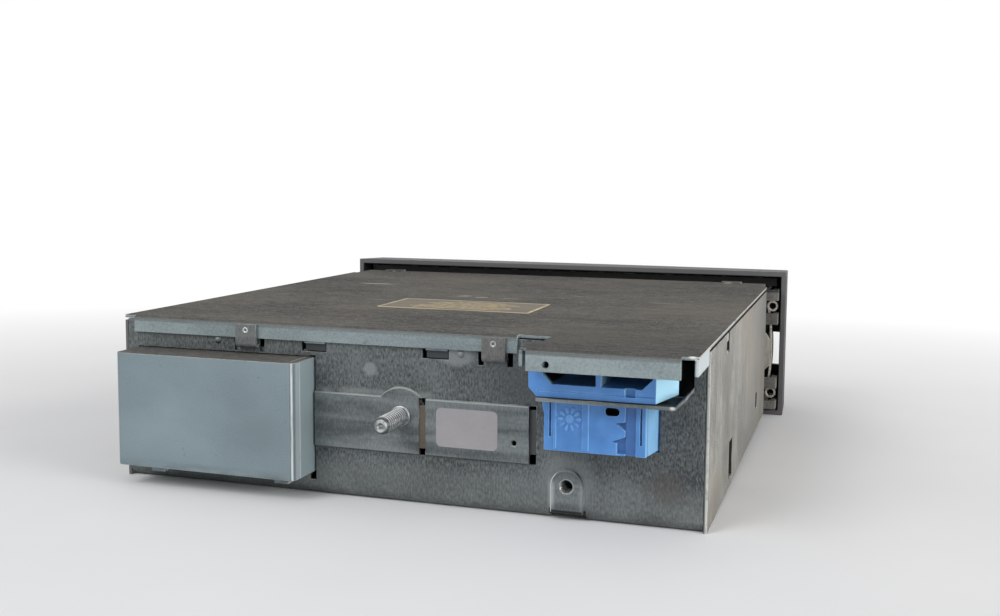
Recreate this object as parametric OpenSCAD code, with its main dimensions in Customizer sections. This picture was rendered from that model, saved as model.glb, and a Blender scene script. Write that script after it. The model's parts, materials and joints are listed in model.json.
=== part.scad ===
// Car CD radio: a steel case with a rear lid, an amplifier box and a plug block,
// a slot-loading disc drive inside, and a front panel with a knob and keys.
// Case frame: X to the right seen from the front, Y towards the back with 0 on the
// rear wall's outer face, Z up from the underside of the floor. in_row_frame() moves
// the origin to the bottom centre of the whole part.

/* [Case] */
// Width of the steel case
chassis_w = 178; // [174:1:184]
// Height of the steel case
chassis_h = 50; // [49:0.5:54]
// Depth of the case from its rear wall to its front plate
chassis_d = 175; // [170:1:190]
// Thickness of the steel sheet
sheet = 1; // [0.8:0.1:1.2]
// Outer radius of the bend from the floor into the rear wall
bend_r = 3; // [2:0.5:4]
// Gap between pieces that are joined
seam = 0.1; // [0.05:0.05:0.2]

/* [Top cover] */
// Height of the cover's rear flange
flange_h = 5; // [4:0.5:6]
// Gap between the flange's end and the lid
lid_gap = 6.7; // [5:0.1:8]
// Reach of the lid behind the rear wall
lid_reach = 22; // [19:0.5:26]
// Width of the lid from the case's left side
lid_w = 45.3; // [44:0.1:47]
// Height of the lid's rear lip
lip_h = 5.8; // [4.5:0.1:6]
// Length of the cover's side tabs at the front
tab_d = 10; // [6:1:16]
// Height of the cover's side tabs at the front
tab_h = 11; // [6:1:16]
// Width of the top label
label_w = 52; // [30:1:70]
// Depth of the top label
label_d = 26; // [16:1:40]
// Distance of the top label from the rear wall
label_back = 46; // [30:1:80]

/* [Amplifier box] */
// Distance from the middle to the box
amp_x = 25; // [24:0.1:27]
// Distance from the box to the case's side
amp_side = 4.8; // [4:0.1:9]
// Height of the box's underside above the floor
amp_z = 6.6; // [6:0.1:9]
// Distance from the box's top to the case's top
amp_drop = 9.7; // [9:0.1:14]
// Reach of the box behind the rear wall
amp_reach = 12; // [10:0.5:20]
// Thickness of the box's sheet
amp_sheet = 1.2; // [0.8:0.1:1.5]

/* [Rear wall] */
// Height of the pressed band's lower edge
band_z = 14.4; // [13:0.1:16]
// Height of the pressed band
band_h = 16.2; // [14:0.1:17]
// Rise of the pressed band
band_rise = 0.8; // [0.4:0.1:0.9]
// Distance from the band's free end to the lid
band_gap = 3.3; // [3:0.1:5]
// Place of the locating stud across the wall
stud_x = -2.7; // [-4:0.1:4]
// Height of the locating stud
stud_z = 25.2; // [24:0.1:26]
// Radius of the locating stud
stud_r = 2.5; // [2:0.1:3]
// Reach of the locating stud behind the rear wall
stud_reach = 15; // [10:0.5:20]
// Distance of the ground screw hole from the plug block's inner end
ground_in = 7.5; // [7:0.1:10]
// Height of the ground screw hole
ground_z = 9.5; // [9:0.1:10]
// Radius of the ground screw hole
ground_r = 2.1; // [1.6:0.1:2.6]

/* [Plug block] */
// Reach of the upper plug chamber behind the rear wall
plug_reach = 13; // [10:0.5:15]
// Reach of the lower plug part behind the rear wall
plug_low_reach = 9; // [6:0.5:12]
// Distance of the shelf's underside below the case's top
shelf_drop = 15; // [14:0.1:16]
// Reach of the shelf behind the rear wall
shelf_reach = 14; // [11:0.5:17]
// Height of the lower plug part's underside
plug_low_z = 21.2; // [19:0.1:23]

/* [Front panel] */
// Width of the front moulding
bezel_w = 190; // [188:1:198]
// Height of the front moulding
bezel_h = 59; // [57:0.5:62]
// Depth of the front moulding at its ends
bezel_depth = 24; // [22:0.5:28]
// Wall of the front moulding
bezel_wall = 2; // [1.5:0.1:2.4]
// Thickness of the front face
face_t = 2.4; // [1.8:0.1:3]
// Rise of the front face from its ends to its middle
face_bulge = 4; // [2:0.5:6]
// Gap from the case to the front moulding's rear rim
bezel_gap = 5; // [4:0.5:7]
// Inward slope of the front moulding's sides and top over its depth
bezel_taper = 1.2; // [0.6:0.1:1.6]
// Distance of the disc's mid plane below the case's top
disc_drop = 13; // [12.5:0.1:13.5]
// Width of the disc slot
slot_w = 126; // [122:1:128]
// Height of the disc slot
slot_h = 5.6; // [5:0.1:6]
// Width of the display window
window_w = 84; // [70:1:88]
// Height of the display window
window_h = 16; // [12:0.5:17]

/* [Controls] */
// Radius of the volume knob
knob_r = 12; // [10:0.5:13]
// Reach of the volume knob
knob_reach = 12; // [8:0.5:16]
// Radius of the knob's shaft
knob_shaft_r = 3; // [2.5:0.1:3.2]
// Width of a preset key
key_w = 13.6; // [11:0.1:14]
// Height of a preset key
key_h = 8; // [6:0.5:8]
// Spacing of the preset keys
key_pitch = 15.4; // [15.2:0.1:16]
// Travel of a key
key_travel = 0.8; // [0.5:0.1:1]
// Height that a key stands proud of the face
key_proud = 1.2; // [1.1:0.1:2]
// Gap round a key
key_gap = 0.35; // [0.3:0.05:0.5]

/* [Disc drive] */
// Distance from the drive's frame to the case's side
deck_side = 17; // [15:1:18]
// Distance from the drive's frame to the rear wall
deck_back = 32; // [28:1:34]
// Distance of the drive's underside below the disc's mid plane
deck_drop = 16; // [15.5:0.1:16.5]
// Radius of the loading roller at its ends
roller_r = 4; // [3.8:0.1:4.2]
// Radius of the roller's shaft and the clamp arm's pins
pin_r = 1.5; // [1.2:0.1:1.6]
// Radius of the guide rods and the lead screw
rod_r = 1.5; // [1.2:0.1:1.6]
// Running clearance of a turning or sliding fit
run_fit = 0.05; // [0.03:0.01:0.08]
// Travel of the pickup sled
sled_travel = 33; // [30:1:34]
// Radius of the turntable
table_r = 14.5; // [12:0.5:16]
// Height of a rubber damper
damper_h = 3; // [2:0.5:4]

/* [Hidden] */
$fn = 48;

// Case
half_w = chassis_w / 2;
pan_x = half_w - sheet - seam;
wall_top = chassis_h - sheet - 2 * seam;
disc_z = chassis_h - disc_drop;
deck_z = disc_z - deck_drop;
over = 1;
flange_y = seam + sheet;
flange_z = chassis_h - flange_h;
flange_right = half_w - 4;
lid_x = lid_w - half_w;
flange_end = -lid_x - lid_gap;
lip_end = half_w - 4.2;
clip_w = 6.8;
clip_xs = [amp_x + 17.6, 3.1 - flange_end];
clip_slot = 1.6;
clip_cut = 1.2;
clip_z = flange_z - 2.8;
clip_y = flange_y + seam + sheet;
clip_r = 1.4;
fold_r = sheet + 0.1;
hook_xs = [amp_x - 4.1, 20.2 - flange_end];
hook_w = 7.9;
hook_h = 3;
hook_room = 1.2;
hook_in = 0.3;
hook_t = 0.6;
nub_xs = [amp_x + 31.5, 16.6 - flange_end];
nub_r = 1.1;
front_tab_x = half_w - 19;
nose_d = 14;
nose_in = 1.7;
nose_x = half_w - nose_in;
plate_x = nose_x - sheet - seam;

// Side walls
side_top = wall_top - 0.5;
slit_y = -39;
rear_slot_y = -50;
front_slot_y = -128.5;
base_flange = 6;
ledge_z = deck_z - damper_h;

// Rear wall
amp_w = half_w - amp_side - amp_x;
amp_h = chassis_h - amp_drop - amp_z;
amp_gap = 0.3;
amp_slit = 0.6;
amp_relief = 2.3;
amp_relief_w = 1.4;
amp_flange = 2;
amp_foot = 1.6;
amp_foot_w = 4.5;
band_end = -lid_x - band_gap;
band_lap = 1.2;
bulge_r = stud_r + 5.8;
slot_1_x = -10.1;
slot_1_w = 2;
slot_2_w = 1.9;
pin_hole = [4.2 - band_end, band_z + 5.6];
pin_hole_r = 0.65;
stud_collar = 0.9;
stud_tip = 1;
ground_half = 4.6;
ground_rise = 1.4;
ground_collar = 3;
ground_foot = 2;

// Plug block
plug_in = lid_x - seam;
ground_x = plug_in - ground_in;
shelf_z = chassis_h - shelf_drop;
plug_out = 6.8 - half_w;
plug_chamfer = 5;
plug_bevel = 2.3;
plug_rise = 1.9;
plug_waist = plug_out + 3;
plug_top = chassis_h - 5.2;
plug_floor = shelf_z + sheet + seam;
plug_back = 16;
chamber_z = plug_floor + 3.5;
chamber_back = 12;
chamber_in = plug_in - 6.2;
chamber_out = plug_in - 29.9;
rib_in = plug_in - 17.9;
rib_w = 1.4;
plug_low_in = plug_in - 2.2;
plug_low_out = plug_in - 31.9;
plug_low_top = shelf_z - 0.5;
plug_gap = 0.5;
shelf_slope = 2.6;
shelf_step = plug_bevel + 0.6 * seam;
shelf_fold = 4;

// Main board
board_z = 7;
board_t = 1.6;
board_top = board_z + board_t;
board_rear = -8;
board_front = -chassis_d + 7;
board_x = half_w - 5;
boss_r = 3.2;
boss_points = [for (x = [-1, 1], y = [board_front + 8, -24]) [x * (board_x - 6), y]];
link_z = board_top + 0.5;
link_w = 30;
link_h = 5;
tuner_x = 9 - board_x;
tuner_y = board_rear - 58;
tuner_w = 50;
tuner_d = 30;
tuner_h = deck_z - board_top - 2.4;
chip_side = 18;
chip_t = 1.8;
CHIPS = [[0.24, 0.32, 1.3, 1.3], [0.48, 0.64, 1, 1], [-0.12, 0.7, 0.8, 1.1], [-0.6, 0.76, 1.1, 0.8]];
cap_r = 7;
cap_h = 28;
cap_xs = [amp_x - 15, amp_x - 47];
cap_y = board_rear - 8;
small_cap_r = 4;
small_cap_y = board_rear - 32;
sink_back = 5;
fin_pitch = 5.6;
chip_x = amp_x + amp_w / 2;
chip_y = -sink_back - seam;
screw_r = 1.5;
screw_head_r = 2.8;
screw_head = 1.8;

// Disc drive
deck_x = half_w - deck_side;
deck_front = -chassis_d + 7;
deck_rear = -deck_back;
deck_floor = deck_z + sheet;
deck_top = chassis_h - 4;
ear_x = half_w - sheet - 8;
ear_half = 7;
ear_ys = [deck_front + 18, deck_rear - 18];
spindle_y = deck_front + 64;
disc_under = disc_z - 0.6;
disc_over = disc_z + 0.6;
roller_y = deck_front + 8;
roller_z = disc_under - 0.3 - roller_r;
roller_x = 59;
motor_y = roller_y + 22;
motor_r = 6;
motor_z = deck_floor + seam + motor_r;
motor_length = 18;
motor_end = deck_x - sheet - seam;
pulley_x = deck_x + 1.2;
pulley_w = 3.6;
roller_pulley_r = 9;
motor_pulley_r = 2.5;
belt_t = 1;
belt_dip = 0.04;
belt_run = norm([motor_y - roller_y, motor_z - roller_z]);
belt_dir = atan2(motor_z - roller_z, motor_y - roller_y);
belt_lean = acos((roller_pulley_r - motor_pulley_r) / belt_run);
spindle_r = 1;
spindle_motor_r = 11;
spindle_motor_h = 9.5;
table_t = 1.5;
hub_r = 7.3;
table_z = deck_floor + spindle_motor_h + 0.4;
clamp_y = deck_rear - 8;
clamp_z = disc_over + 2.9;
clamp_t = 1;
puck_r = 10;
puck_z = disc_over + 0.3;
puck_stub_r = 3;
finger_y = clamp_y - 18;
slider_x = -deck_x + sheet + 0.2;
slider_w = 4.8;
slider_top = deck_floor + 5.2;
lens_x = 24;
sled_half = 9;
sled_side = 23;
sled_z = deck_floor + 2.5;
sled_t = 5.5;
rod_z = sled_z + sled_t / 2;
rod_off = 19;
screw_y = spindle_y + 30;
nut_w = 4;
sled_motor_r = 5;
sled_motor_x = lens_x + sled_travel - 3;
post_in = 14.5;
post_w = 3.2;
rod_ys = [spindle_y - rod_off, spindle_y + rod_off];

// Front panel
front_y = -chassis_d - bezel_gap;
bezel_z0 = (chassis_h - bezel_h) / 2;
bezel_z1 = bezel_z0 + bezel_h;
bezel_x = bezel_w / 2;
face_mid = front_y - bezel_depth - face_bulge;
face_radius = (bezel_x * bezel_x + face_bulge * face_bulge) / (2 * face_bulge);
panel_front = front_y - 12;
panel_t = 1.6;
panel_rear = panel_front + panel_t;
post_r = 3;
post_points = [for (x = [-1, 1], z = [bezel_z0 + 6, bezel_z1 - 6]) [x * (bezel_x - 9), z]];
back_t = 3;
back_x = bezel_x - 8;
board_edge = bezel_x - bezel_wall - 5;
back_y = -chassis_d - seam;
knob_x = 24 - bezel_x;
knob_z = disc_z - key_h / 2 - 2.5 - knob_r;
bush_r = knob_shaft_r + 1.6;
knob_back = face_y(abs(knob_x) - knob_r) - 0.5;
key_rim = 1.2;
key_room = 0.6;
rocker_x = bezel_x - 25;
rocker_w = 26;
rocker_h = 12;
rocker_lug = 3.2;
rocker_z = disc_z - key_h / 2 - key_rim - key_room - rocker_lug - rocker_h / 2;
rocker_gap = 0.6;
rocker_pin_r = 1.2;
rocker_axis_y = face_in(rocker_x) + 4;
flap_pin_r = 1;
flap_x = slot_w / 2 + 0.5;
flap_y = face_in(flap_x) + 2.4;
flap_z = disc_z + slot_h / 2 + 0.9;
flap_drop = slot_h + 1.6;
key_z = bezel_z0 + bezel_wall + key_room + key_rim + key_h / 2;
window_flange = 1.6;
window_z = (key_z + key_h / 2 + key_rim + flap_z - flap_drop - window_h) / 2;
side_key_x = (slot_w / 2 + bezel_x) / 2 - 1;
side_key_w = bezel_x - slot_w / 2 - 17;
switch_h = 3.5;
switch_top = panel_front - seam - switch_h;
KEYS = concat(
    [for (i = [0:5]) [(i - 2.5) * key_pitch, key_z, key_w, key_h]],
    [[side_key_x, disc_z, side_key_w, key_h], [-side_key_x, disc_z, side_key_w, key_h]]
);
release_x = bezel_x - 6.8;
release_w = 3.4;
release_z = chassis_h / 2 - 2.5;
release_drop = 2.5;
release_half = 7;
lug_x = bezel_x - bezel_wall - 0.6;
lug_y = front_y - 4;
lug_in = lug_x - 2.3;
LUGS = [
    for (s = [[-23.8, -20.4], [-15.4, -11], [10.9, 15.3], [20.6, 25]])
        [release_z + s[0], release_z + s[1]]
];
spring_loop = 17.9;
spring_x = bezel_x - 5.2;
spring_t = 0.8;
spring_loop_r = 2.2;
spring_bow = 1.6;
spring_radius = (spring_loop * spring_loop + spring_bow * spring_bow) / (2 * spring_bow);
spring_y = front_y - 8;
spring_depth = 7;
web_x = spring_x - 1.3 + spring_bow - spring_t / 2;
screen_y = panel_rear + screw_head + 1;
screen_t = 1.2;
screen_x = back_x - 7;

// Whole part
rear_most = max(lid_reach, stud_reach, amp_reach, shelf_reach);
row_y = -(knob_back - knob_reach + rear_most) / 2;
row_z = -bezel_z0;

// Outer and inner Y of the curved front face at a distance x from the middle
function face_y(x) = face_mid + face_radius - sqrt(face_radius * face_radius - x * x);
function face_in(x) = face_y(x) + face_t;

// A point of a circle round (y, z) at an angle a
function on_circle(y, z, r, a) = [y + r * cos(a), z + r * sin(a)];

module in_row_frame() {
    translate([0, row_y, row_z])
        children();
}

// A piece and its mirror image on the other side
module both_sides() {
    children();
    mirror([1, 0, 0])
        children();
}

// A flat shape drawn as (Y, Z), (X, Z) or (X, Y) and drawn out along the third axis
module along_x(x0, x1) {
    translate([x0, 0, 0])
        rotate([90, 0, 90])
            linear_extrude(x1 - x0)
                children();
}

module along_y(y0, y1) {
    translate([0, y1, 0])
        rotate([90, 0, 0])
            linear_extrude(y1 - y0)
                children();
}

module along_z(z0, z1) {
    translate([0, 0, z0])
        linear_extrude(z1 - z0)
            children();
}

module slab(x0, y0, x1, y1) {
    translate([x0, y0])
        square([x1 - x0, y1 - y0]);
}

module round_slab(x0, y0, x1, y1, r) {
    slab(x0 + r, y0, x1 - r, y1);
    slab(x0, y0 + r, x1, y1 - r);
    for (x = [x0 + r, x1 - r], y = [y0 + r, y1 - r])
        translate([x, y])
            circle(r);
}

module round_block(x, y, w, h, r) {
    round_slab(x - w / 2, y - h / 2, x + w / 2, y + h / 2, r);
}

// A quarter of a bent sheet round (u, v), towards the signs du and dv
module bend_arc(u, v, r, t, du, dv) {
    intersection() {
        translate([u, v])
            difference() {
                circle(r);
                circle(r - t);
            }
        slab(min(u, u + du * r), min(v, v + dv * r), max(u, u + du * r), max(v, v + dv * r));
    }
}

module box(a, b) {
    translate(a)
        cube(b - a);
}

module rod_along_x(x0, x1, y, z, r) {
    translate([x0, y, z])
        rotate([0, 90, 0])
            cylinder(h = x1 - x0, r = r);
}

module rod_along_y(y0, y1, x, z, r) {
    translate([x, y0, z])
        rotate([-90, 0, 0])
            cylinder(h = y1 - y0, r = r);
}

module rod_along_z(z0, z1, x, y, r) {
    translate([x, y, z0])
        cylinder(h = z1 - z0, r = r);
}

// Rear wall outlines
module band_outline(inset) {
    slab(-band_end + inset, band_z + inset, amp_x - amp_slit, band_z + band_h - inset);
    translate([stud_x, stud_z])
        circle(bulge_r - inset);
}

module band_slots() {
    slab(slot_1_x, band_z, slot_1_x + slot_1_w, band_z + band_h);
    slab(-band_end - slot_2_w, band_z, -band_end, band_z + band_h);
}

// Strips that close most of the band's slots from behind
module slot_backing() {
    along_y(-sheet, band_rise - 0.6)
        slab(slot_1_x - 1, band_z + 1.9, slot_1_x + slot_1_w + 1, band_z + band_h - 2);
    along_y(-sheet, -0.3)
        slab(-band_end - slot_2_w - 1, band_z + 2.7, 1 - band_end, band_z + band_h - 1.1);
}

module upper_plug_window() {
    polygon([
        [lid_x, chassis_h], [lid_x, shelf_z + sheet + shelf_step],
        [lid_x - shelf_step, shelf_z + sheet], [plug_out - seam, shelf_z + sheet],
        [plug_out - seam - shelf_slope, shelf_z + sheet + shelf_slope],
        [plug_out - seam - shelf_slope, chassis_h]
    ]);
}

module shelf_outline() {
    intersection() {
        difference() {
            translate([0, -sheet])
                upper_plug_window();
            upper_plug_window();
        }
        slab(-half_w, 0, 0, shelf_z + sheet + shelf_slope);
    }
}

module shelf() {
    along_y(-sheet, shelf_fold)
        shelf_outline();
    along_y(-sheet, shelf_reach)
        intersection() {
            shelf_outline();
            slab(-half_w, 0, lid_x - shelf_step, chassis_h);
        }
}

module rear_windows() {
    along_y(-sheet - over, over) {
        slab(amp_x - amp_slit, amp_z - amp_gap, amp_x + amp_w + amp_gap, amp_z + amp_h + amp_gap);
        slab(amp_x - amp_slit, amp_z - amp_relief, amp_x + amp_relief_w, amp_z + amp_h + 2 * amp_gap);
        band_outline(band_lap);
        band_slots();
        upper_plug_window();
        slab(plug_low_out - plug_gap, plug_low_z - plug_gap, plug_low_in + plug_gap, plug_low_top + seam);
        for (x = hook_xs)
            slab(x, flange_z - hook_h, x + hook_w, flange_z + 0.2);
        for (x = clip_xs, edge = [x - clip_slot, x + clip_w])
            slab(edge, clip_z - clip_cut, edge + clip_slot, flange_z + 0.3);
    }
    along_y(-sheet - bend_r, ground_rise + over)
        slab(ground_x - ground_half - 0.4, -over, ground_x + ground_half + 0.4, ground_foot);
}

module cover_clip(x) {
    along_x(x, x + clip_w) {
        slab(-sheet / 2, clip_z, clip_y - clip_r, clip_z + sheet);
        bend_arc(clip_y - clip_r, clip_z + clip_r, clip_r, sheet, 1, -1);
        slab(clip_y - sheet, clip_z + clip_r, clip_y, chassis_h - 0.8);
    }
}

module pan_profile() {
    slab(-chassis_d, 0, -bend_r, sheet);
    slab(-sheet, bend_r, 0, wall_top);
    bend_arc(-bend_r, bend_r, bend_r, sheet, 1, -1);
}

module ground_boss() {
    along_y(-sheet / 2, ground_rise) {
        translate([ground_x, ground_z])
            circle(ground_half);
        slab(ground_x - ground_half, ground_foot, ground_x + ground_half, ground_z);
    }
    rod_along_y(-sheet - ground_collar, 0, ground_x, ground_z, ground_r + 1.2);
}

module bottom_pan() {
    color("#8b9090")
        difference() {
            union() {
                difference() {
                    along_x(-pan_x, pan_x)
                        pan_profile();
                    rear_windows();
                }
                along_y(band_rise - sheet, band_rise)
                    difference() {
                        band_outline(0);
                        band_slots();
                    }
                shelf();
                slot_backing();
                ground_boss();
                for (x = clip_xs)
                    cover_clip(x);
                for (x = nub_xs)
                    translate([x, -0.3, flange_z - 1.2])
                        sphere(nub_r);
                for (p = boss_points)
                    rod_along_z(0, board_z - seam, p.x, p.y, boss_r);
            }
            rod_along_y(-sheet - over, band_rise + over, stud_x, stud_z, stud_r + seam / 2);
            rod_along_y(-sheet - ground_collar - over, ground_rise + over, ground_x, ground_z, ground_r);
            rod_along_y(-sheet, band_rise + over, pin_hole[0], pin_hole[1], pin_hole_r);
            for (p = boss_points)
                rod_along_z(-over, board_z + over, p.x, p.y, screw_r + seam / 2);
        }
}

// Side wall at the positive X side
module side_wall() {
    difference() {
        union() {
            along_x(half_w - sheet, half_w)
                difference() {
                    slab(-chassis_d + nose_d, 0, 0, side_top);
                    slab(slit_y - 0.8, chassis_h - 7.6, slit_y + 0.8, chassis_h);
                    slab(slit_y, chassis_h - 6.8, slit_y + 4.8, chassis_h - 4);
                    slab(rear_slot_y - 4, sheet * 2 + 0.5, rear_slot_y + 4, 14);
                    slab(front_slot_y - 2.5, 8, front_slot_y + 2.5, 14);
                }
            along_z(sheet + seam, 2 * sheet + seam)
                slab(half_w - sheet - base_flange, -chassis_d + nose_d + 1,
                     half_w - sheet / 2, -bend_r - 4);
            for (y = ear_ys)
                along_z(ledge_z - sheet, ledge_z)
                    slab(ear_x - 4.5, y - ear_half, half_w - sheet / 2, y + ear_half);
        }
        for (y = ear_ys)
            rod_along_z(ledge_z - sheet - over, ledge_z + over, ear_x, y, screw_r + seam / 2);
    }
}

module right_side_wall() {
    color("#a29e97")
        side_wall();
}

module left_side_wall() {
    color("#a29e97")
        mirror([1, 0, 0])
            side_wall();
}

// Front plate of the case
module passage_outline() {
    round_slab(-slot_w / 2 - 1, disc_z - 4, slot_w / 2 + 1, disc_z + 4, 2);
    slab(-link_w / 2 - 1, link_z - 1, link_w / 2 + 1, link_z + link_h + 1);
}

module front_plate() {
    color("#8b9090") {
        along_y(-chassis_d, -chassis_d + sheet)
            difference() {
                slab(-plate_x, sheet + seam, plate_x, wall_top);
                passage_outline();
            }
        both_sides()
            along_x(plate_x - sheet, plate_x)
                slab(-chassis_d, sheet + seam, -chassis_d + nose_d, wall_top);
    }
}

// Top cover
module lid_outline() {
    polygon([
        [-half_w, -sheet], [-half_w, lid_reach - 1.4], [lid_x, lid_reach - 1.4], [lid_x, 14],
        [lid_x - 2.5, 9], [lid_x - 2.5, -sheet]
    ]);
}

// A sheet that ends in a rounded bend down to z, with its outer face at y
module rear_bend(y, z) {
    slab(y - 3, chassis_h - sheet, y - fold_r, chassis_h);
    bend_arc(y - fold_r, chassis_h - fold_r, fold_r, sheet, 1, 1);
    slab(y - sheet, z, y, chassis_h - fold_r);
}

// A tab of the cover inside a hook slot of the rear wall
module hook_tab(x) {
    along_x(x + 2 * seam, x + hook_w - hook_room) {
        slab(-hook_in - hook_t, flange_z - hook_h + 2 * seam, -hook_in, flange_z + seam);
        slab(-hook_in - hook_t, flange_z - hook_t, flange_y - sheet / 2, flange_z + seam);
        slab(seam, flange_z - hook_t, flange_y - sheet / 2, flange_z + hook_t);
    }
}

module top_cover() {
    color("#77716a") {
        difference() {
            union() {
                along_z(chassis_h - sheet, chassis_h) {
                    slab(-half_w, -chassis_d + nose_d, half_w, -sheet);
                    slab(-nose_x, -chassis_d, nose_x, -chassis_d + nose_d + over);
                    slab(-flange_end, -sheet - over, half_w, 0);
                    lid_outline();
                }
                along_x(-flange_end, flange_right)
                    rear_bend(flange_y, flange_z);
                for (x = hook_xs)
                    hook_tab(x);
                along_x(-lip_end, lid_x - 1.9)
                    rear_bend(lid_reach, chassis_h - lip_h);
                for (x = [-half_w, lid_x - sheet])
                    along_x(x, x + sheet)
                        slab(9, chassis_h - 4.8, lid_reach - 0.5, chassis_h - sheet / 2);
                along_x(-half_w, -half_w + sheet)
                    slab(3, chassis_h - 4.8, 10, chassis_h - sheet / 2);
                both_sides() {
                    along_x(nose_x - sheet, nose_x)
                        slab(-chassis_d, chassis_h - tab_h, -chassis_d + tab_d, chassis_h - sheet / 2);
                    along_z(chassis_h - sheet, chassis_h + 0.6)
                        slab(front_tab_x, -chassis_d, front_tab_x + 8, -chassis_d + 5);
                }
            }
            rod_along_y(lid_reach - 2 * sheet, lid_reach + over, lid_x - 7.2, chassis_h - 3.9, 0.85);
        }
    }
}

module top_label() {
    color("#a08d66")
        along_z(chassis_h, chassis_h + 0.12)
            round_slab(-label_w / 2, -label_back - label_d, label_w / 2, -label_back, 1);
}

module rear_sticker() {
    color("#b9b3b4")
        along_y(band_rise, band_rise + 0.12)
            round_slab(-band_end + 8.9, band_z + 3.1, slot_1_x - 3.3, band_z + band_h - 2.1, 1.5);
}

// Amplifier box and what it cools
module amp_outline(inset) {
    round_slab(amp_x + inset, -8 + inset, amp_x + amp_w - inset, amp_reach - inset, 2 - inset);
}

module amp_box() {
    color("#84929a")
        difference() {
            union() {
                along_z(amp_z, amp_z + amp_h)
                    amp_outline(0);
                along_y(-2 * sheet - seam, -sheet - seam)
                    slab(amp_x + amp_relief_w + amp_gap, amp_z - amp_flange,
                         amp_x + amp_w + amp_flange, amp_z + amp_h + amp_flange);
                for (x = [amp_x + 3.2, amp_x + amp_w - 15])
                    box([x, amp_reach - 5.5, amp_z - amp_foot],
                        [x + amp_foot_w, amp_reach - 2.2, amp_z + over]);
            }
            along_z(amp_z + amp_sheet, amp_z + amp_h - amp_sheet)
                amp_outline(amp_sheet);
            box([0, -10, 0], [half_w, -2 * sheet - seam, chassis_h]);
            box([amp_x + 2.2, 0, amp_z + amp_h - amp_sheet - over],
                [amp_x + 2.6, amp_reach - 2.5, amp_z + amp_h + over]);
        }
}

module heat_sink() {
    color("#b4b6b6")
        along_z(amp_z + amp_sheet + seam, amp_z + amp_h - amp_sheet - seam)
            difference() {
                slab(amp_x + fin_pitch, -sink_back,
                     amp_x + amp_w - fin_pitch, amp_reach - amp_sheet - seam);
                for (x = [amp_x + 1.6 * fin_pitch:fin_pitch:amp_x + amp_w - 2 * fin_pitch])
                    slab(x, 3 - sink_back, x + fin_pitch / 2, amp_reach - amp_sheet - 3);
            }
}

module power_chip() {
    color("#2b2b2e") {
        box([chip_x - 13, chip_y - 4.4, board_top + 4.5], [chip_x + 13, chip_y, board_top + 22]);
        for (i = [0:10])
            box([chip_x - 11.4 + i * 2.2, chip_y - 4.2, board_top + seam],
                [chip_x - 10.6 + i * 2.2, chip_y - 3.7, board_top + 5]);
    }
}

module locating_stud() {
    color("#c9cbcb") {
        rod_along_y(-sheet - seam, stud_reach - stud_tip, stud_x, stud_z, stud_r);
        translate([stud_x, stud_reach - stud_tip, stud_z])
            rotate([-90, 0, 0])
                cylinder(h = stud_tip, r1 = stud_r, r2 = stud_r - 0.8);
        rod_along_y(band_rise + seam / 2, band_rise + stud_collar, stud_x, stud_z, stud_r + 0.5);
        rod_along_y(-sheet - seam - 1.5, -sheet - seam, stud_x, stud_z, stud_r + 4.6);
    }
}

// Plug block
module upper_plug() {
    intersection() {
        along_z(plug_floor, plug_top)
            polygon([
                [plug_in, -sheet - over], [plug_in, plug_reach], [plug_out + plug_chamfer, plug_reach],
                [plug_out, plug_reach - plug_chamfer], [plug_waist, plug_reach - plug_chamfer - 1],
                [plug_waist, -sheet - over]
            ]);
        along_y(-sheet - over, plug_reach)
            polygon([
                [plug_in, plug_top], [plug_in, plug_floor + plug_bevel], [plug_in - plug_bevel, plug_floor],
                [plug_out + plug_chamfer, plug_floor], [plug_out, plug_floor + plug_rise],
                [plug_out, plug_top]
            ]);
    }
}

module chamber_outline() {
    polygon([
        [chamber_in, chamber_z], [chamber_out, chamber_z], [chamber_out - 2.6, chamber_z + 2.6],
        [chamber_out - 2.6, plug_top + over], [chamber_in + 2.4, plug_top + over],
        [chamber_in + 2.4, chamber_z + 2.6]
    ]);
}

module lower_plug() {
    difference() {
        along_z(plug_low_z, plug_low_top)
            polygon([
                [plug_low_in, -sheet - over], [plug_low_in, 0], [plug_low_in - 1, plug_low_reach],
                [plug_low_out + 1.6, plug_low_reach], [plug_low_out, 0], [plug_low_out, -sheet - over]
            ]);
        along_y(plug_low_reach - 1.4, plug_low_reach + over) {
            slab(plug_low_in - 2.9, plug_low_z + 3.6, plug_low_in - 2.4, plug_low_top);
            slab(plug_low_in - 27.1, plug_low_z + 3, plug_low_in - 26.6, plug_low_top);
            polygon([
                [plug_low_in - 22.8, plug_low_z + 8.9], [plug_low_in - 20.1, plug_low_z + 8.4],
                [plug_low_in - 22.8, plug_low_z + 6.6]
            ]);
            polygon([
                [plug_low_in - 22.8, plug_low_z + 5], [plug_low_in - 19.4, plug_low_z + 3.6],
                [plug_low_in - 20.5, plug_low_z + 3.2], [plug_low_in - 20.5, plug_low_z + 0.5],
                [plug_low_in - 22.8, plug_low_z + 0.5]
            ]);
        }
        along_y(plug_low_reach - 0.8, plug_low_reach + over)
            slab(plug_low_in - 25.5, plug_low_z - over, plug_low_in - 22.7, plug_low_top + over);
        along_y(plug_low_reach - 7, plug_low_reach + over)
            round_block(plug_low_in - 19.25, plug_low_top - 1.95, 3.8, 2.1, 1);
    }
    along_y(seam, plug_low_reach)
        polygon([
            [plug_low_in - 1.2, plug_low_top], [plug_low_in - 0.5, plug_low_top],
            [plug_low_in - 0.5, plug_low_top - 1.4], [plug_low_in - 1.2, plug_low_top - 4.5]
        ]);
    box([plug_low_in - 4.3, 0, plug_low_z + 0.6], [plug_low_in - 3.7, plug_low_reach + 0.3, plug_low_top]);
    box([plug_low_in - 13.1, 0, plug_low_z + 0.6],
        [plug_low_in - 11.4, plug_low_reach + 0.4, plug_low_top]);
}

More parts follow.
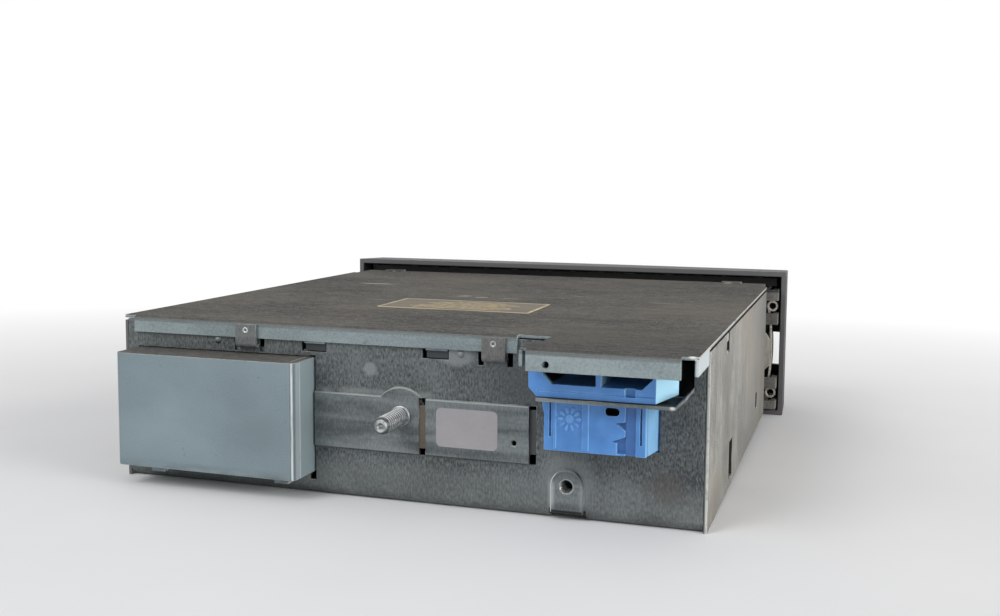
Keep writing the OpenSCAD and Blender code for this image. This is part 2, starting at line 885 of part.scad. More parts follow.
module connector_block() {
    color("#5a8fd0")
        difference() {
            union() {
                box([plug_waist, -plug_back, board_top + 6], [plug_low_in, -sheet - seam, plug_top]);
                box([plug_waist, -plug_back, board_top + seam],
                    [plug_low_in, -plug_back + 10, board_top + 7]);
                upper_plug();
                lower_plug();
            }
            along_y(-chamber_back, plug_reach + over)
                difference() {
                    chamber_outline();
                    slab(rib_in - rib_w, chamber_z - over, rib_in, plug_top + 2);
                }
            box([plug_in - 28.1, plug_reach - 1.5, plug_floor + 1.3],
                [plug_in - 25.5, plug_reach + over, chamber_z + over]);
            box([plug_out + plug_chamfer + 0.5, plug_reach - 0.3, plug_floor + 1.5],
                [plug_in - plug_bevel, plug_reach + over, plug_floor + 1.8]);
        }
}

module connector_pins() {
    color("#c8b070")
        for (i = [0:3], x = [chamber_in - 2 - i * 2.7, rib_in - 3.2 - i * 2.7])
            box([x - 0.4, -chamber_back, chamber_z + 3.4], [x + 0.4, 0, chamber_z + 4.2]);
}

// Main board and its parts
module main_board() {
    color("#3d6b45")
        along_z(board_z, board_top)
            difference() {
                slab(-board_x, board_front, board_x, board_rear);
                for (p = boss_points)
                    translate(p)
                        circle(screw_r + 0.1);
            }
}

// A screw whose head sits at the origin and whose shank points down
module screw(length) {
    rotate([180, 0, 0])
        cylinder(h = length, r = screw_r);
    cylinder(h = screw_head, r = screw_head_r);
}

module assembly_screws() {
    color("#bfc1c0") {
        for (p = boss_points)
            translate([p.x, p.y, board_top])
                screw(board_t + 4);
        for (side = [-1, 1], y = ear_ys)
            translate([side * ear_x, y, deck_floor])
                screw(sheet + damper_h + sheet);
        for (p = post_points)
            translate([p.x, panel_rear, p.y])
                rotate([-90, 0, 0])
                    screw(panel_t + 5);
    }
}

module tuner_can() {
    color("#c3c4c0")
        along_z(board_top, board_top + tuner_h)
            round_slab(tuner_x, tuner_y - tuner_d, tuner_x + tuner_w, tuner_y, 1.5);
}

module board_chips() {
    color("#2b2b2e")
        for (c = CHIPS)
            along_z(board_top, board_top + chip_t)
                round_block(c[0] * board_x, c[1] * board_front, c[2] * chip_side, c[3] * chip_side, 0.6);
}

module capacitors() {
    color("#33455f") {
        for (i = [0, 1])
            rod_along_z(board_top, board_top + cap_h - i * cap_r, cap_xs[i], cap_y, cap_r);
        for (x = [-0.7, 0, 0.7])
            rod_along_z(board_top, deck_z - small_cap_r, x * board_x, small_cap_y, small_cap_r);
    }
}

module panel_connector() {
    color("#d8d4c4") {
        box([-link_w / 2, panel_rear + seam, link_z], [link_w / 2, board_front + 6, link_z + link_h]);
        box([-link_w / 2, board_front + 1, board_top + seam], [link_w / 2, board_front + 6, link_z + 1]);
    }
}

// Disc drive
module rod_post(x, y) {
    box([x, y - 3.6, deck_floor - 0.2], [x + post_w, y + 3.6, rod_z + 3.5]);
}

module deck_frame() {
    color("#9a9c9a")
        difference() {
            union() {
                along_z(deck_z, deck_floor) {
                    slab(-deck_x, deck_front, deck_x, deck_rear);
                    both_sides()
                        for (y = ear_ys)
                            slab(deck_x - sheet, y - 6, ear_x + 4.5, y + 6);
                }
                both_sides()
                    along_x(deck_x - sheet, deck_x)
                        slab(deck_front, deck_z, deck_rear, deck_top);
                for (x = [post_in - post_w, deck_x - sheet - post_w], y = rod_ys)
                    rod_post(x, y);
                rod_post(post_in - post_w, screw_y);
            }
            for (side = [-1, 1], y = ear_ys)
                rod_along_z(deck_z - over, deck_floor + over, side * ear_x, y, screw_r + 0.1);
            rod_along_x(-deck_x - over, deck_x + over, roller_y, roller_z, pin_r + run_fit);
            rod_along_x(-deck_x - over, deck_x + over, clamp_y, clamp_z, pin_r + run_fit);
            rod_along_x(deck_x - 2 * sheet, deck_x + over, motor_y, motor_z, spindle_r + 0.4);
            for (y = rod_ys)
                rod_along_x(post_in - 4, deck_x - sheet, y, rod_z, rod_r + run_fit);
            rod_along_x(post_in - 4, post_in + over, screw_y, rod_z, rod_r + run_fit);
        }
}

module deck_dampers() {
    color("#1f1f21")
        for (side = [-1, 1], y = ear_ys)
            difference() {
                rod_along_z(ledge_z + seam / 2, deck_z - seam / 2, side * ear_x, y, 4.4);
                rod_along_z(ledge_z - over, deck_z + over, side * ear_x, y, screw_r + 0.1);
            }
}

module disc_guide() {
    color("#232326")
        difference() {
            along_z(disc_over + 0.8, disc_over + 2.6)
                slab(-deck_x + sheet + seam, deck_front + 1, deck_x - sheet - seam, roller_y + 9);
            box([-20, roller_y + 3, 0], [20, roller_y + 10, chassis_h]);
        }
}

module loading_roller() {
    color("#2a2a2c")
        translate([-roller_x, roller_y, roller_z])
            rotate([0, 90, 0])
                rotate_extrude()
                    polygon([
                        [pin_r, 0], [roller_r, 0], [roller_r - 0.7, roller_x],
                        [roller_r, 2 * roller_x], [pin_r, 2 * roller_x]
                    ]);
}

module roller_shaft() {
    color("#c9cbcb")
        rod_along_x(-deck_x - 2, pulley_x + pulley_w + 1, roller_y, roller_z, pin_r);
}

module roller_pulley() {
    color("#e4e1d6")
        difference() {
            rod_along_x(pulley_x, pulley_x + pulley_w, roller_y, roller_z, roller_pulley_r);
            rod_along_x(pulley_x - over, pulley_x + pulley_w + over, roller_y, roller_z, pin_r);
        }
}

module loading_motor() {
    color("#b8bab9")
        difference() {
            rod_along_x(motor_end - motor_length, motor_end, motor_y, motor_z, motor_r);
            rod_along_x(deck_x - sheet - 10, deck_x, motor_y, motor_z, spindle_r + run_fit);
        }
}

module motor_pulley() {
    color("#e4e1d6") {
        rod_along_x(pulley_x, pulley_x + pulley_w, motor_y, motor_z, motor_pulley_r);
        rod_along_x(deck_x - sheet - 9, pulley_x + over, motor_y, motor_z, spindle_r);
    }
}

// Outline round both pulleys, grown by a margin, with nearly tangent straight runs
module belt_outline(margin) {
    big = roller_pulley_r + margin;
    small = motor_pulley_r + margin;
    translate([roller_y, roller_z])
        circle(big);
    translate([motor_y, motor_z])
        circle(small);
    polygon([
        on_circle(roller_y, roller_z, big - belt_dip, belt_dir + belt_lean),
        on_circle(roller_y, roller_z, big - belt_dip, belt_dir - belt_lean),
        on_circle(motor_y, motor_z, small - belt_dip, belt_dir - belt_lean),
        on_circle(motor_y, motor_z, small - belt_dip, belt_dir + belt_lean)
    ]);
}

module drive_belt() {
    color("#1b1b1c")
        along_x(pulley_x + 1, pulley_x + pulley_w - 1)
            difference() {
                belt_outline(belt_t + 2 * run_fit);
                belt_outline(2 * run_fit);
            }
}

module spindle_motor() {
    color("#b8bab9")
        difference() {
            rod_along_z(deck_floor, deck_floor + spindle_motor_h, 0, spindle_y, spindle_motor_r);
            rod_along_z(deck_floor + 1, chassis_h, 0, spindle_y, spindle_r + run_fit);
        }
}

module spindle_shaft() {
    color("#c9cbcb")
        rod_along_z(deck_floor + 1.3, disc_over, 0, spindle_y, spindle_r);
}

module turntable() {
    color("#2f2f33")
        translate([0, spindle_y, 0])
            rotate_extrude()
                polygon([
                    [spindle_r, table_z], [4, table_z], [4, disc_under - table_t],
                    [table_r, disc_under - table_t], [table_r, disc_under], [hub_r, disc_under],
                    [hub_r - 1, disc_over + 0.8], [spindle_r, disc_over + 0.8]
                ]);
}

module clamp_arm() {
    color("#a7a9a6")
        difference() {
            union() {
                along_z(clamp_z - clamp_t / 2, clamp_z + clamp_t / 2) {
                    slab(-deck_x + sheet + 0.5, clamp_y - 6, deck_x - sheet - 0.5, clamp_y + 2);
                    polygon([
                        [-40, clamp_y - 5], [-12, spindle_y + 6], [-12, spindle_y - 8],
                        [12, spindle_y - 8], [12, spindle_y + 6], [40, clamp_y - 5]
                    ]);
                    slab(slider_x + 1, finger_y - 1.5, slider_x + 3.4, clamp_y);
                }
                rod_along_x(-deck_x - 1, -deck_x + sheet + 6, clamp_y, clamp_z, pin_r);
                rod_along_x(deck_x - sheet - 6, deck_x + 1, clamp_y, clamp_z, pin_r);
                box([slider_x + 1, finger_y - 1.5, slider_top + 0.3],
                    [slider_x + 3.4, finger_y + 1.5, clamp_z]);
            }
            rod_along_z(clamp_z - 3, clamp_z + 3, 0, spindle_y, puck_stub_r + run_fit);
        }
}

module clamp_puck() {
    color("#2f2f33")
        translate([0, spindle_y, 0])
            rotate_extrude()
                polygon([
                    [0, puck_z + 1.3], [hub_r + 0.6, puck_z + 1.3], [hub_r + 0.6, puck_z], [puck_r, puck_z],
                    [puck_r, clamp_z - clamp_t / 2 - 0.3], [puck_stub_r, clamp_z - clamp_t / 2 - 0.3],
                    [puck_stub_r, clamp_z + clamp_t / 2 + 0.3], [5, clamp_z + clamp_t / 2 + 0.3],
                    [5, clamp_z + clamp_t / 2 + 1.1], [0, clamp_z + clamp_t / 2 + 1.1]
                ]);
}

module mode_slider() {
    color("#e4e1d6")
        along_x(slider_x, slider_x + slider_w)
            polygon([
                [finger_y + 10, deck_floor + seam], [finger_y + 10, slider_top],
                [finger_y - 2.5, slider_top],
                [finger_y - 12.5, slider_top + 0.9], [finger_y - 21, slider_top + 0.9],
                [finger_y - 24, slider_top - 2], [finger_y - 60, slider_top - 2],
                [finger_y - 60, deck_floor + seam]
            ]);
}

module guide_rods() {
    color("#c9cbcb")
        for (y = rod_ys)
            rod_along_x(post_in - 3, deck_x - sheet - seam, y, rod_z, rod_r);
}

module lead_screw() {
    color("#c9cbcb")
        rod_along_x(post_in - 2.8, sled_motor_x + 8, screw_y, rod_z, rod_r);
}

module sled_motor() {
    color("#b8bab9")
        difference() {
            union() {
                rod_along_x(sled_motor_x, deck_x - sheet - seam, screw_y, rod_z, sled_motor_r);
                box([sled_motor_x + 4, screw_y - 4, deck_floor + seam],
                    [deck_x - sheet - seam, screw_y + 4, rod_z]);
            }
            rod_along_x(sled_motor_x - over, sled_motor_x + 9, screw_y, rod_z, rod_r + run_fit);
        }
}

module pickup_sled() {
    color("#3a3a3e")
        difference() {
            union() {
                box([lens_x - sled_half, spindle_y - sled_side, sled_z],
                    [lens_x + sled_half, spindle_y + sled_side, sled_z + sled_t]);
                box([lens_x - sled_half, spindle_y + sled_side - 1, sled_z],
                    [lens_x - sled_half + nut_w, screw_y + 3.5, sled_z + sled_t]);
                rod_along_z(sled_z + sled_t - 0.2, disc_under - 2.6, lens_x, spindle_y, 4);
            }
            for (y = rod_ys)
                rod_along_x(0, deck_x, y, rod_z, rod_r + run_fit);
            rod_along_x(0, deck_x, screw_y, rod_z, rod_r + 2 * run_fit);
            rod_along_z(disc_under - 4, disc_under, lens_x, spindle_y, 2.2);
        }
}

module objective_lens() {
    color("#9fb8d8")
        rod_along_z(disc_under - 4, disc_under - 2.4, lens_x, spindle_y, 2.2 - run_fit);
}

// Front panel
module panel_back() {
    color("#2c2d2f") {
        along_y(back_y - back_t, back_y)
            difference() {
                union() {
                    slab(-back_x, 0.5, back_x, chassis_h - 0.5);
                    both_sides()
                        for (lug = LUGS)
                            slab(back_x - 2, lug[0], lug_x, lug[1]);
                }
                passage_outline();
            }
        both_sides()
            along_y(lug_y, back_y - over)
                for (lug = LUGS)
                    slab(lug_in, lug[0], lug_x, lug[1]);
        along_y(screen_y, screen_y + screen_t)
            difference() {
                union() {
                    slab(-screen_x, bezel_z0 + 3, screen_x, bezel_z1 - 3);
                    slab(4 - bezel_x, chassis_h - 2, bezel_x - 4, bezel_z1 - 3);
                }
                passage_outline();
            }
        both_sides()
            box([screen_x - 2, screen_y, 5], [screen_x, back_y - over, chassis_h - 5]);
    }
}

// The space behind the curved front face, set back by a depth
module behind_face(depth) {
    translate([0, face_mid + face_radius + depth, bezel_z0 - over])
        cylinder(h = bezel_h + 2 * over, r = face_radius, $fn = 1440);
}

module face_openings() {
    round_slab(-slot_w / 2, disc_z - slot_h / 2, slot_w / 2, disc_z + slot_h / 2, 2);
    round_slab(-window_w / 2, window_z, window_w / 2, window_z + window_h, 1.5);
    for (k = KEYS)
        round_block(k[0], k[1], k[2] + 2 * key_gap, k[3] + 2 * key_gap, 1 + key_gap);
    translate([knob_x, knob_z])
        circle(bush_r + 0.4);
    round_block(rocker_x, rocker_z, rocker_w + 2 * rocker_gap, rocker_h + 2 * rocker_gap, 2);
    both_sides()
        round_block(release_x + release_w / 2, release_z - release_drop, release_w, 2 * release_half, 0.5);
}

module rocker_lugs() {
    for (z = [rocker_z - rocker_h / 2 - rocker_lug, rocker_z + rocker_h / 2 + 0.8])
        box([rocker_x - 3, face_in(rocker_x) - 1, z],
            [rocker_x + 3, rocker_axis_y + 2.6, z + rocker_lug - 0.8]);
}

module flap_lugs() {
    both_sides()
        box([flap_x + 0.5, face_in(flap_x) - 1, flap_z - 2.2], [flap_x + 3.3, flap_y + 2.2, flap_z + 2.2]);
}

// The moulding's outline drawn in by a wall, with its sloped sides and top and its curved face
module moulding(wall, extra) {
    side = bezel_x - wall;
    top = bezel_z1 - wall;
    slope = bezel_taper / (bezel_depth + face_bulge);
    inward = slope * (front_y - face_mid + over);
    intersection() {
        along_z(bezel_z0 + wall, bezel_z1)
            both_sides()
                polygon([
                    [-over, front_y + extra], [side, front_y + extra], [side, front_y],
                    [side - inward, face_mid - over], [-over, face_mid - over]
                ]);
        along_x(-bezel_x - over, bezel_x + over)
            polygon([
                [front_y + extra + over, bezel_z0 - over], [front_y + extra + over, top],
                [front_y, top], [face_mid - over, top - inward], [face_mid - over, bezel_z0 - over]
            ]);
        behind_face(wall == 0 ? 0 : face_t);
    }
}

module front_bezel() {
    color("#1d1d1f")
        difference() {
            union() {
                difference() {
                    moulding(0, 0);
                    moulding(bezel_wall, over);
                    along_y(face_mid - over, front_y - bezel_depth + face_t + over)
                        face_openings();
                }
                for (p = post_points)
                    rod_along_y(face_in(p.x) - 0.5, panel_front, p.x, p.y, post_r);
                rocker_lugs();
                flap_lugs();
            }
            for (p = post_points)
                rod_along_y(panel_front - 7, panel_front + over, p.x, p.y, screw_r + seam / 2);
            rod_along_z(0, chassis_h, rocker_x, rocker_axis_y, rocker_pin_r + run_fit);
            rod_along_x(-flap_x - 5, flap_x + 5, flap_y, flap_z, flap_pin_r + run_fit);
        }
}

module panel_board() {
    color("#3d6b45")
        along_y(panel_front, panel_rear)
            difference() {
                slab(-board_edge, bezel_z0 + 3, board_edge, bezel_z1 - 3);
                round_slab(-slot_w / 2 - 3, disc_z - 6, slot_w / 2 + 3, disc_z + 6, 2);
                for (p = post_points)
                    translate(p)
                        circle(screw_r + 0.1);
            }
}

module tact_switches() {
    color("#38383b")
        for (k = KEYS)
            along_y(switch_top, panel_front - seam)
                round_block(k[0], k[1], 6, 6, 0.5);
}

module display_module() {
    color("#b9c2b4")
        box([-window_w / 2 - 2, face_in(window_w / 2 + 2) + 1.4, window_z - window_flange],
            [window_w / 2 + 2, panel_front - seam, window_z + window_h + window_flange]);
}

module display_window() {
    color("#20262b") {
        along_y(face_y(window_w / 2) + 0.4, face_in(window_w / 2 + 2) + 1.3)
            round_slab(-window_w / 2 + 0.15, window_z + 0.15,
                       window_w / 2 - 0.15, window_z + window_h - 0.15, 1.4);
        along_y(face_in(window_w / 2 + 2) + seam, face_in(window_w / 2 + 2) + 1.3)
            slab(-window_w / 2 - 2, window_z - window_flange,
                 window_w / 2 + 2, window_z + window_h + window_flange);
    }
}

module slot_flap() {
    color("#151516") {
        rod_along_x(-flap_x - 3, flap_x + 3, flap_y, flap_z, flap_pin_r);
        rod_along_x(-flap_x, flap_x, flap_y, flap_z, flap_pin_r + 0.3);
        box([-flap_x, flap_y - 0.5, flap_z - flap_drop], [flap_x, flap_y + 0.5, flap_z]);
    }
}

module encoder_body() {
    color("#5a5c5e")
        difference() {
            union() {
                along_y(panel_front - 7, panel_front - seam)
                    round_block(knob_x, knob_z, 13, 13, 0.8);
                rod_along_y(face_in(abs(knob_x)) - 2, panel_front - 6, knob_x, knob_z, bush_r);
            }
            rod_along_y(face_mid, panel_front - 3, knob_x, knob_z, knob_shaft_r + run_fit);
        }
}

module encoder_shaft() {
    color("#c9cbcb")
        rod_along_y(knob_back - knob_reach + 4, panel_front - 3.3, knob_x, knob_z, knob_shaft_r);
}

module volume_knob() {
    color("#232325")
        difference() {
            union() {
                rod_along_y(knob_back - knob_reach + 1.2, knob_back, knob_x, knob_z, knob_r);
                translate([knob_x, knob_back - knob_reach, knob_z])
                    rotate([-90, 0, 0])
                        cylinder(h = 1.2, r1 = knob_r - 1.2, r2 = knob_r);
            }
            rod_along_y(knob_back - knob_reach + 4, knob_back + over, knob_x, knob_z, knob_shaft_r);
            difference() {
                rod_along_y(knob_back - knob_reach + 3, knob_back + over, knob_x, knob_z, knob_r - 2);
                rod_along_y(knob_back - knob_reach, knob_back + 2, knob_x, knob_z, bush_r + 0.4);
            }
            for (a = [0:15:345])
                rod_along_y(knob_back - knob_reach + 2, knob_back - 2, knob_x + (knob_r + 0.4) * cos(a),
                            knob_z + (knob_r + 0.4) * sin(a), 0.9);
            box([knob_x - 0.5, knob_back - knob_reach - over, knob_z + 5],
                [knob_x + 0.5, knob_back - knob_reach + 0.6, knob_z + knob_r - 1.6]);
        }
}

module seek_rocker() {
    rocker_front = face_y(rocker_x - rocker_w / 2) - key_proud;
    color("#232325") {
        along_y(rocker_front, face_in(rocker_x) + 1.5)
            round_block(rocker_x, rocker_z, rocker_w, rocker_h, 1.5);
        box([rocker_x - 2.5, face_in(rocker_x) + 1, rocker_z - rocker_h / 2],
            [rocker_x + 2.5, rocker_axis_y, rocker_z + rocker_h / 2]);
        rod_along_z(rocker_z - rocker_h / 2, rocker_z + rocker_h / 2, rocker_x, rocker_axis_y, 2.2);
        rod_along_z(rocker_z - rocker_h / 2 - rocker_lug + 0.2, rocker_z + rocker_h / 2 + rocker_lug - 0.2,
                    rocker_x, rocker_axis_y, rocker_pin_r);
    }
}

// A leaf spring with a loop at each end and a bow between them, on the positive X side
module latch_spring() {
    color("#b9b2a2") {
        along_y(spring_y, spring_y + spring_depth) {
            for (side = [-1, 1])
                translate([spring_x, release_z + side * spring_loop])
                    difference() {
                        circle(spring_loop_r);
                        circle(spring_loop_r - spring_t);
                    }
            intersection() {
                translate([spring_x - 1.3 + spring_bow - spring_radius, release_z])
                    difference() {
                        circle(spring_radius, $fn = 360);
                        circle(spring_radius - spring_t, $fn = 360);
                    }
                slab(spring_x - 3, release_z - spring_loop + spring_t,
                     spring_x + 3, release_z + spring_loop - spring_t);
            }
        }
        along_y(spring_y + spring_depth - spring_t, spring_y + spring_depth)
            polygon([
                [web_x - 3.7, release_z - 10], [web_x, release_z - 6.2], [web_x, release_z + 3.2],
                [web_x - 2, release_z + 6.4], [web_x - 3.7, release_z + 7.5]
            ]);
    }
}

module right_latch_spring() {
    latch_spring();
}

module left_latch_spring() {
    mirror([1, 0, 0])
        latch_spring();
}

// A key with its cap through the face, a rim behind it and a stem to its switch
module key_button(k) {
    cap_front = face_y(max(0, abs(k[0]) - k[2] / 2)) - key_proud;
    rim_front = face_in(abs(k[0]) + k[2] / 2) + key_gap;
    color("#2a2a2d") {
        along_y(cap_front, rim_front)
            round_block(k[0], k[1], k[2], k[3], 1);
        along_y(rim_front, rim_front + key_rim)
            round_block(k[0], k[1], k[2], k[3] + 2 * key_rim, 1);
        along_y(rim_front, switch_top - key_travel - 0.3)
            round_block(k[0], k[1], 3, 3, 0.4);
    }
}

in_row_frame() bottom_pan();
in_row_frame() left_side_wall();
in_row_frame() right_side_wall();
in_row_frame() front_plate();
in_row_frame() top_cover();
in_row_frame() amp_box();
in_row_frame() locating_stud();
in_row_frame() top_label();
in_row_frame() rear_sticker();
in_row_frame() connector_block();
in_row_frame() connector_pins();
in_row_frame() main_board();
in_row_frame() assembly_screws();
in_row_frame() tuner_can();
in_row_frame() board_chips();
in_row_frame() capacitors();
in_row_frame() heat_sink();
in_row_frame() power_chip();
in_row_frame() panel_connector();
in_row_frame() deck_frame();
in_row_frame() deck_dampers();
in_row_frame() disc_guide();
in_row_frame() loading_roller();
in_row_frame() roller_shaft();
in_row_frame() roller_pulley();
in_row_frame() loading_motor();
in_row_frame() motor_pulley();
in_row_frame() drive_belt();
in_row_frame() spindle_motor();
in_row_frame() spindle_shaft();
in_row_frame() turntable();
in_row_frame() clamp_arm();
in_row_frame() clamp_puck();
in_row_frame() mode_slider();
in_row_frame() guide_rods();
in_row_frame() lead_screw();
in_row_frame() sled_motor();
in_row_frame() pickup_sled();
in_row_frame() objective_lens();
in_row_frame() panel_back();
in_row_frame() front_bezel();
in_row_frame() panel_board();
in_row_frame() tact_switches();
in_row_frame() display_module();
in_row_frame() display_window();
in_row_frame() slot_flap();
in_row_frame() encoder_body();
in_row_frame() encoder_shaft();
in_row_frame() volume_knob();
in_row_frame() seek_rocker();
in_row_frame() left_latch_spring();
in_row_frame() right_latch_spring();
in_row_frame() key_button(KEYS[0]);  // preset_button_1
in_row_frame() key_button(KEYS[1]);  // preset_button_2
in_row_frame() key_button(KEYS[2]);  // preset_button_3
in_row_frame() key_button(KEYS[3]);  // preset_button_4
in_row_frame() key_button(KEYS[4]);  // preset_button_5
in_row_frame() key_button(KEYS[5]);  // preset_button_6
in_row_frame() key_button(KEYS[6]);  // eject_button
in_row_frame() key_button(KEYS[7]);  // source_button
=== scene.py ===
# Looks of the car CD radio: worn zinc sheet, a blue plug block and a black front panel,
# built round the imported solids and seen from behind, as in the photograph.
import json
import math

import bmesh
import bpy
from mathutils import Matrix, Vector


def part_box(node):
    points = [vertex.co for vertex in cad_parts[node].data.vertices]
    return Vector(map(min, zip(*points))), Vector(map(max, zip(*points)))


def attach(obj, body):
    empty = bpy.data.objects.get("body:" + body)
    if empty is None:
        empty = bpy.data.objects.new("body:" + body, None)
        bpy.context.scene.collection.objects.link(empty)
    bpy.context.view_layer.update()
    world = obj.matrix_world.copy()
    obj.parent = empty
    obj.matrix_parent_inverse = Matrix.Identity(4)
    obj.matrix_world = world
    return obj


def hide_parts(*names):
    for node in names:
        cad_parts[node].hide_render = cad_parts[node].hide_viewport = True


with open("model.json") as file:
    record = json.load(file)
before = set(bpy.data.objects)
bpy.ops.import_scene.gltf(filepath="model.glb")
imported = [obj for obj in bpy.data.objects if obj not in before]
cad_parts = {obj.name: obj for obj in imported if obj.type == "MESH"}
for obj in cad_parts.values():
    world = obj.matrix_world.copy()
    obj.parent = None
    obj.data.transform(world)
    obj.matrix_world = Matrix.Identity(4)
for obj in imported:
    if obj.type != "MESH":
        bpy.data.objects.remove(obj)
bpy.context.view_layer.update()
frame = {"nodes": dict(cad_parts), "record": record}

# Case frame in millimetres: X right seen from the front, Y back from the rear wall, Z up from the floor
MM = 0.001
LID_REACH = 22
ROW_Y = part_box("top_cover")[1].y / MM - LID_REACH
ROW_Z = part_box("bottom_pan")[0].z / MM
CASE_H = 50

BODY_OF = {n: b for b, names in frame["record"]["behaviour"]["bodies"].items() for n in names}
SLOT_OF = {p["node"]: p["material_slot"] for p in frame["record"]["subparts"]}


def at(x, y, z):
    """A point of the case frame in the row frame, in metres."""
    return Vector((x, y + ROW_Y, z + ROW_Z)) * MM


def edge_of(node, axis, high):
    """The lowest or highest coordinate of a node along an axis, in the case frame, in millimetres."""
    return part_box(node)[1 if high else 0][axis] / MM - (0, ROW_Y, ROW_Z)[axis]


# Landmarks of the case, in millimetres of the case frame
GROUND = (-51.3, 9.5)
GROUND_GAP_HALF = 5.2
GROUND_GAP_Z = (1.2, 2.9)
WALL_SLOT_X = (-10.3, -7.9)
WALL_SLOT_Z = (14.4, 30.6)
BAND_RISE = 0.8
BOSS_RISE = 1.4
CLIP_XS = {"right": 46.0, "left": -30.5}
CLIP_Z = 47.4
STUD = (-2.7, 25.2)
STUD_R = 2.5
STUD_PITCH = 1.2
STUD_DEPTH = 0.5
SIDE_X = -89
PLUG_FACE = 9.0
ROSETTE = (-54.0, 29.9)

# Stains on the side walls: Y, Z, width and height
SIDE_STAINS = (
    (-38, 34, 9, 12), (-50, 16, 10, 9), (-127, 18, 8, 9), (-150, 14, 12, 14), (-20, 8, 14, 8),
)
# Smears and scratches on the cover: X, Y, length, width and turn in degrees
COVER_SMEARS = ((-62, -20, 26, 6, 3), (-48, -38, 30, 4, -2), (-70, -58, 16, 3, 2), (-20, -14, 24, 3, 1))
COVER_SCRATCHES = (
    (57.5, -117, 9, 1.2, 2), (10, -87, 3.4, 1.1, 30), (3, -85, 3.2, 0.9, 20), (-8, -84.5, 4, 0.5, 8),
    (-30, -100, 5, 0.25, -12), (34, -66, 6, 0.22, 14), (-60, -90, 7, 0.25, -4),
)
# Brown patches on the cover: X, Y, length and width
COVER_RUST = ((-62, -150, 24, 8), (-28, -140, 16, 6), (52, -158, 22, 7), (20, -30, 26, 6))
# Printed bars of the label: half lengths, gap from the rear edge, pitch and half height; and the border's width
LABEL_BARS = (15, 18, 17, 14, 18, 16, 12)
LABEL_MARGIN = 4.6
LABEL_PITCH = 2.8
LABEL_BAR_HALF = 0.6
LABEL_RIM = 0.9


# Materials
def lin(colour):
    """An sRGB colour of 0 to 255 as linear RGBA."""
    parts = [c / 255 for c in colour]
    return [c / 12.92 if c <= 0.04045 else ((c + 0.055) / 1.055) ** 2.4 for c in parts] + [1.0]


class Shader:
    """A procedural material whose patterns are measured in millimetres of the case frame."""

    def __init__(self, name, roughness=0.5, metallic=0.0):
        self.material = bpy.data.materials.new(name)
        self.material.use_nodes = True
        self.tree = self.material.node_tree
        self.surface = self.tree.nodes["Principled BSDF"]
        self.set("Roughness", roughness)
        self.set("Metallic", metallic)
        coords = self.node("ShaderNodeTexCoord")
        self.place = self.node("ShaderNodeMapping", {
            "Vector": coords.outputs["Object"],
            "Location": (0, -ROW_Y, -ROW_Z),
            "Scale": (1 / MM,) * 3,
        }).outputs[0]
        self.x, self.y, self.z = self.node("ShaderNodeSeparateXYZ", {0: self.place}).outputs
        self.facing = self.node("ShaderNodeSeparateXYZ", {0: coords.outputs["Normal"]}).outputs

    def feed(self, socket, value):
        if isinstance(value, bpy.types.NodeSocket):
            self.tree.links.new(value, socket)
        elif socket.type == "RGBA":
            socket.default_value = lin(value)
        else:
            socket.default_value = value

    def set(self, name, value):
        self.feed(self.surface.inputs[name], value)

    def node(self, kind, inputs=None, **settings):
        made = self.tree.nodes.new(kind)
        for name, value in settings.items():
            setattr(made, name, value)
        for key, value in (inputs or {}).items():
            self.feed(made.inputs[key], value)
        return made

    def scaled(self, size, stretch=(1, 1, 1)):
        scale = tuple(1 / (size * s) for s in stretch)
        return self.node("ShaderNodeMapping", {"Vector": self.place, "Scale": scale}).outputs[0]

    def noise(self, size, detail=4, stretch=(1, 1, 1), distortion=0.0):
        return self.node("ShaderNodeTexNoise", {
            "Vector": self.scaled(size, stretch), "Scale": 1.0, "Detail": detail, "Distortion": distortion,
        }).outputs[0]

    def cells(self, size, stretch=(1, 1, 1)):
        return self.node("ShaderNodeTexVoronoi", {
            "Vector": self.scaled(size, stretch), "Scale": 1.0,
        }).outputs["Color"]

    def range(self, value, low, high, to_low=0.0, to_high=1.0):
        return self.node("ShaderNodeMapRange", {
            "Value": value, "From Min": low, "From Max": high, "To Min": to_low, "To Max": to_high,
        }).outputs[0]

    def math(self, operation, a, b):
        return self.node("ShaderNodeMath", {0: a, 1: b}, operation=operation).outputs[0]

    def total(self, *weighted):
        """The weighted sum of some (value, weight) pairs."""
        result = 0.0
        for value, weight in weighted:
            part = self.math("MULTIPLY", value, weight)
            result = part if result == 0.0 else self.math("ADD", result, part)
        return result

    def mix(self, share, a, b):
        made = self.node("ShaderNodeMix", {0: share, 6: a, 7: b}, data_type="RGBA")
        return made.outputs[2]

    def inside(self, value, low, high, soft):
        """1 between two limits and 0 beyond them, with soft ends."""
        rise = self.range(value, low - soft, low + soft)
        fall = self.range(value, high - soft, high + soft, 1, 0)
        return self.math("MULTIPLY", rise, fall)

    def stroke(self, centre, radii, turn=0.0):
        """1 in the middle of a stretched spot and 0 at its rim; turn is about Z, in degrees."""
        local = self.node("ShaderNodeMapping", {
            "Vector": self.place, "Location": centre, "Rotation": (0, 0, math.radians(turn)), "Scale": radii,
        }, vector_type="TEXTURE").outputs[0]
        return self.node("ShaderNodeTexGradient", {0: local}, gradient_type="SPHERICAL").outputs[1]

    def both(self, *masks):
        """The product of some masks."""
        result = masks[0]
        for mask in masks[1:]:
            result = self.math("MULTIPLY", result, mask)
        return result

    def worn_edges(self, colour, bright, low=0.42, high=0.6):
        """The colour with rubbed edges where the mesh has its edge attribute."""
        edge = self.node("ShaderNodeAttribute", attribute_name="edge").outputs["Fac"]
        rub = self.range(self.noise(4, 3), low, high)
        return self.mix(self.math("MULTIPLY", edge, rub), colour, bright)

    def bump(self, height, depth):
        made = self.node("ShaderNodeBump", {"Height": height, "Strength": 1.0, "Distance": depth * MM})
        self.set("Normal", made.outputs[0])


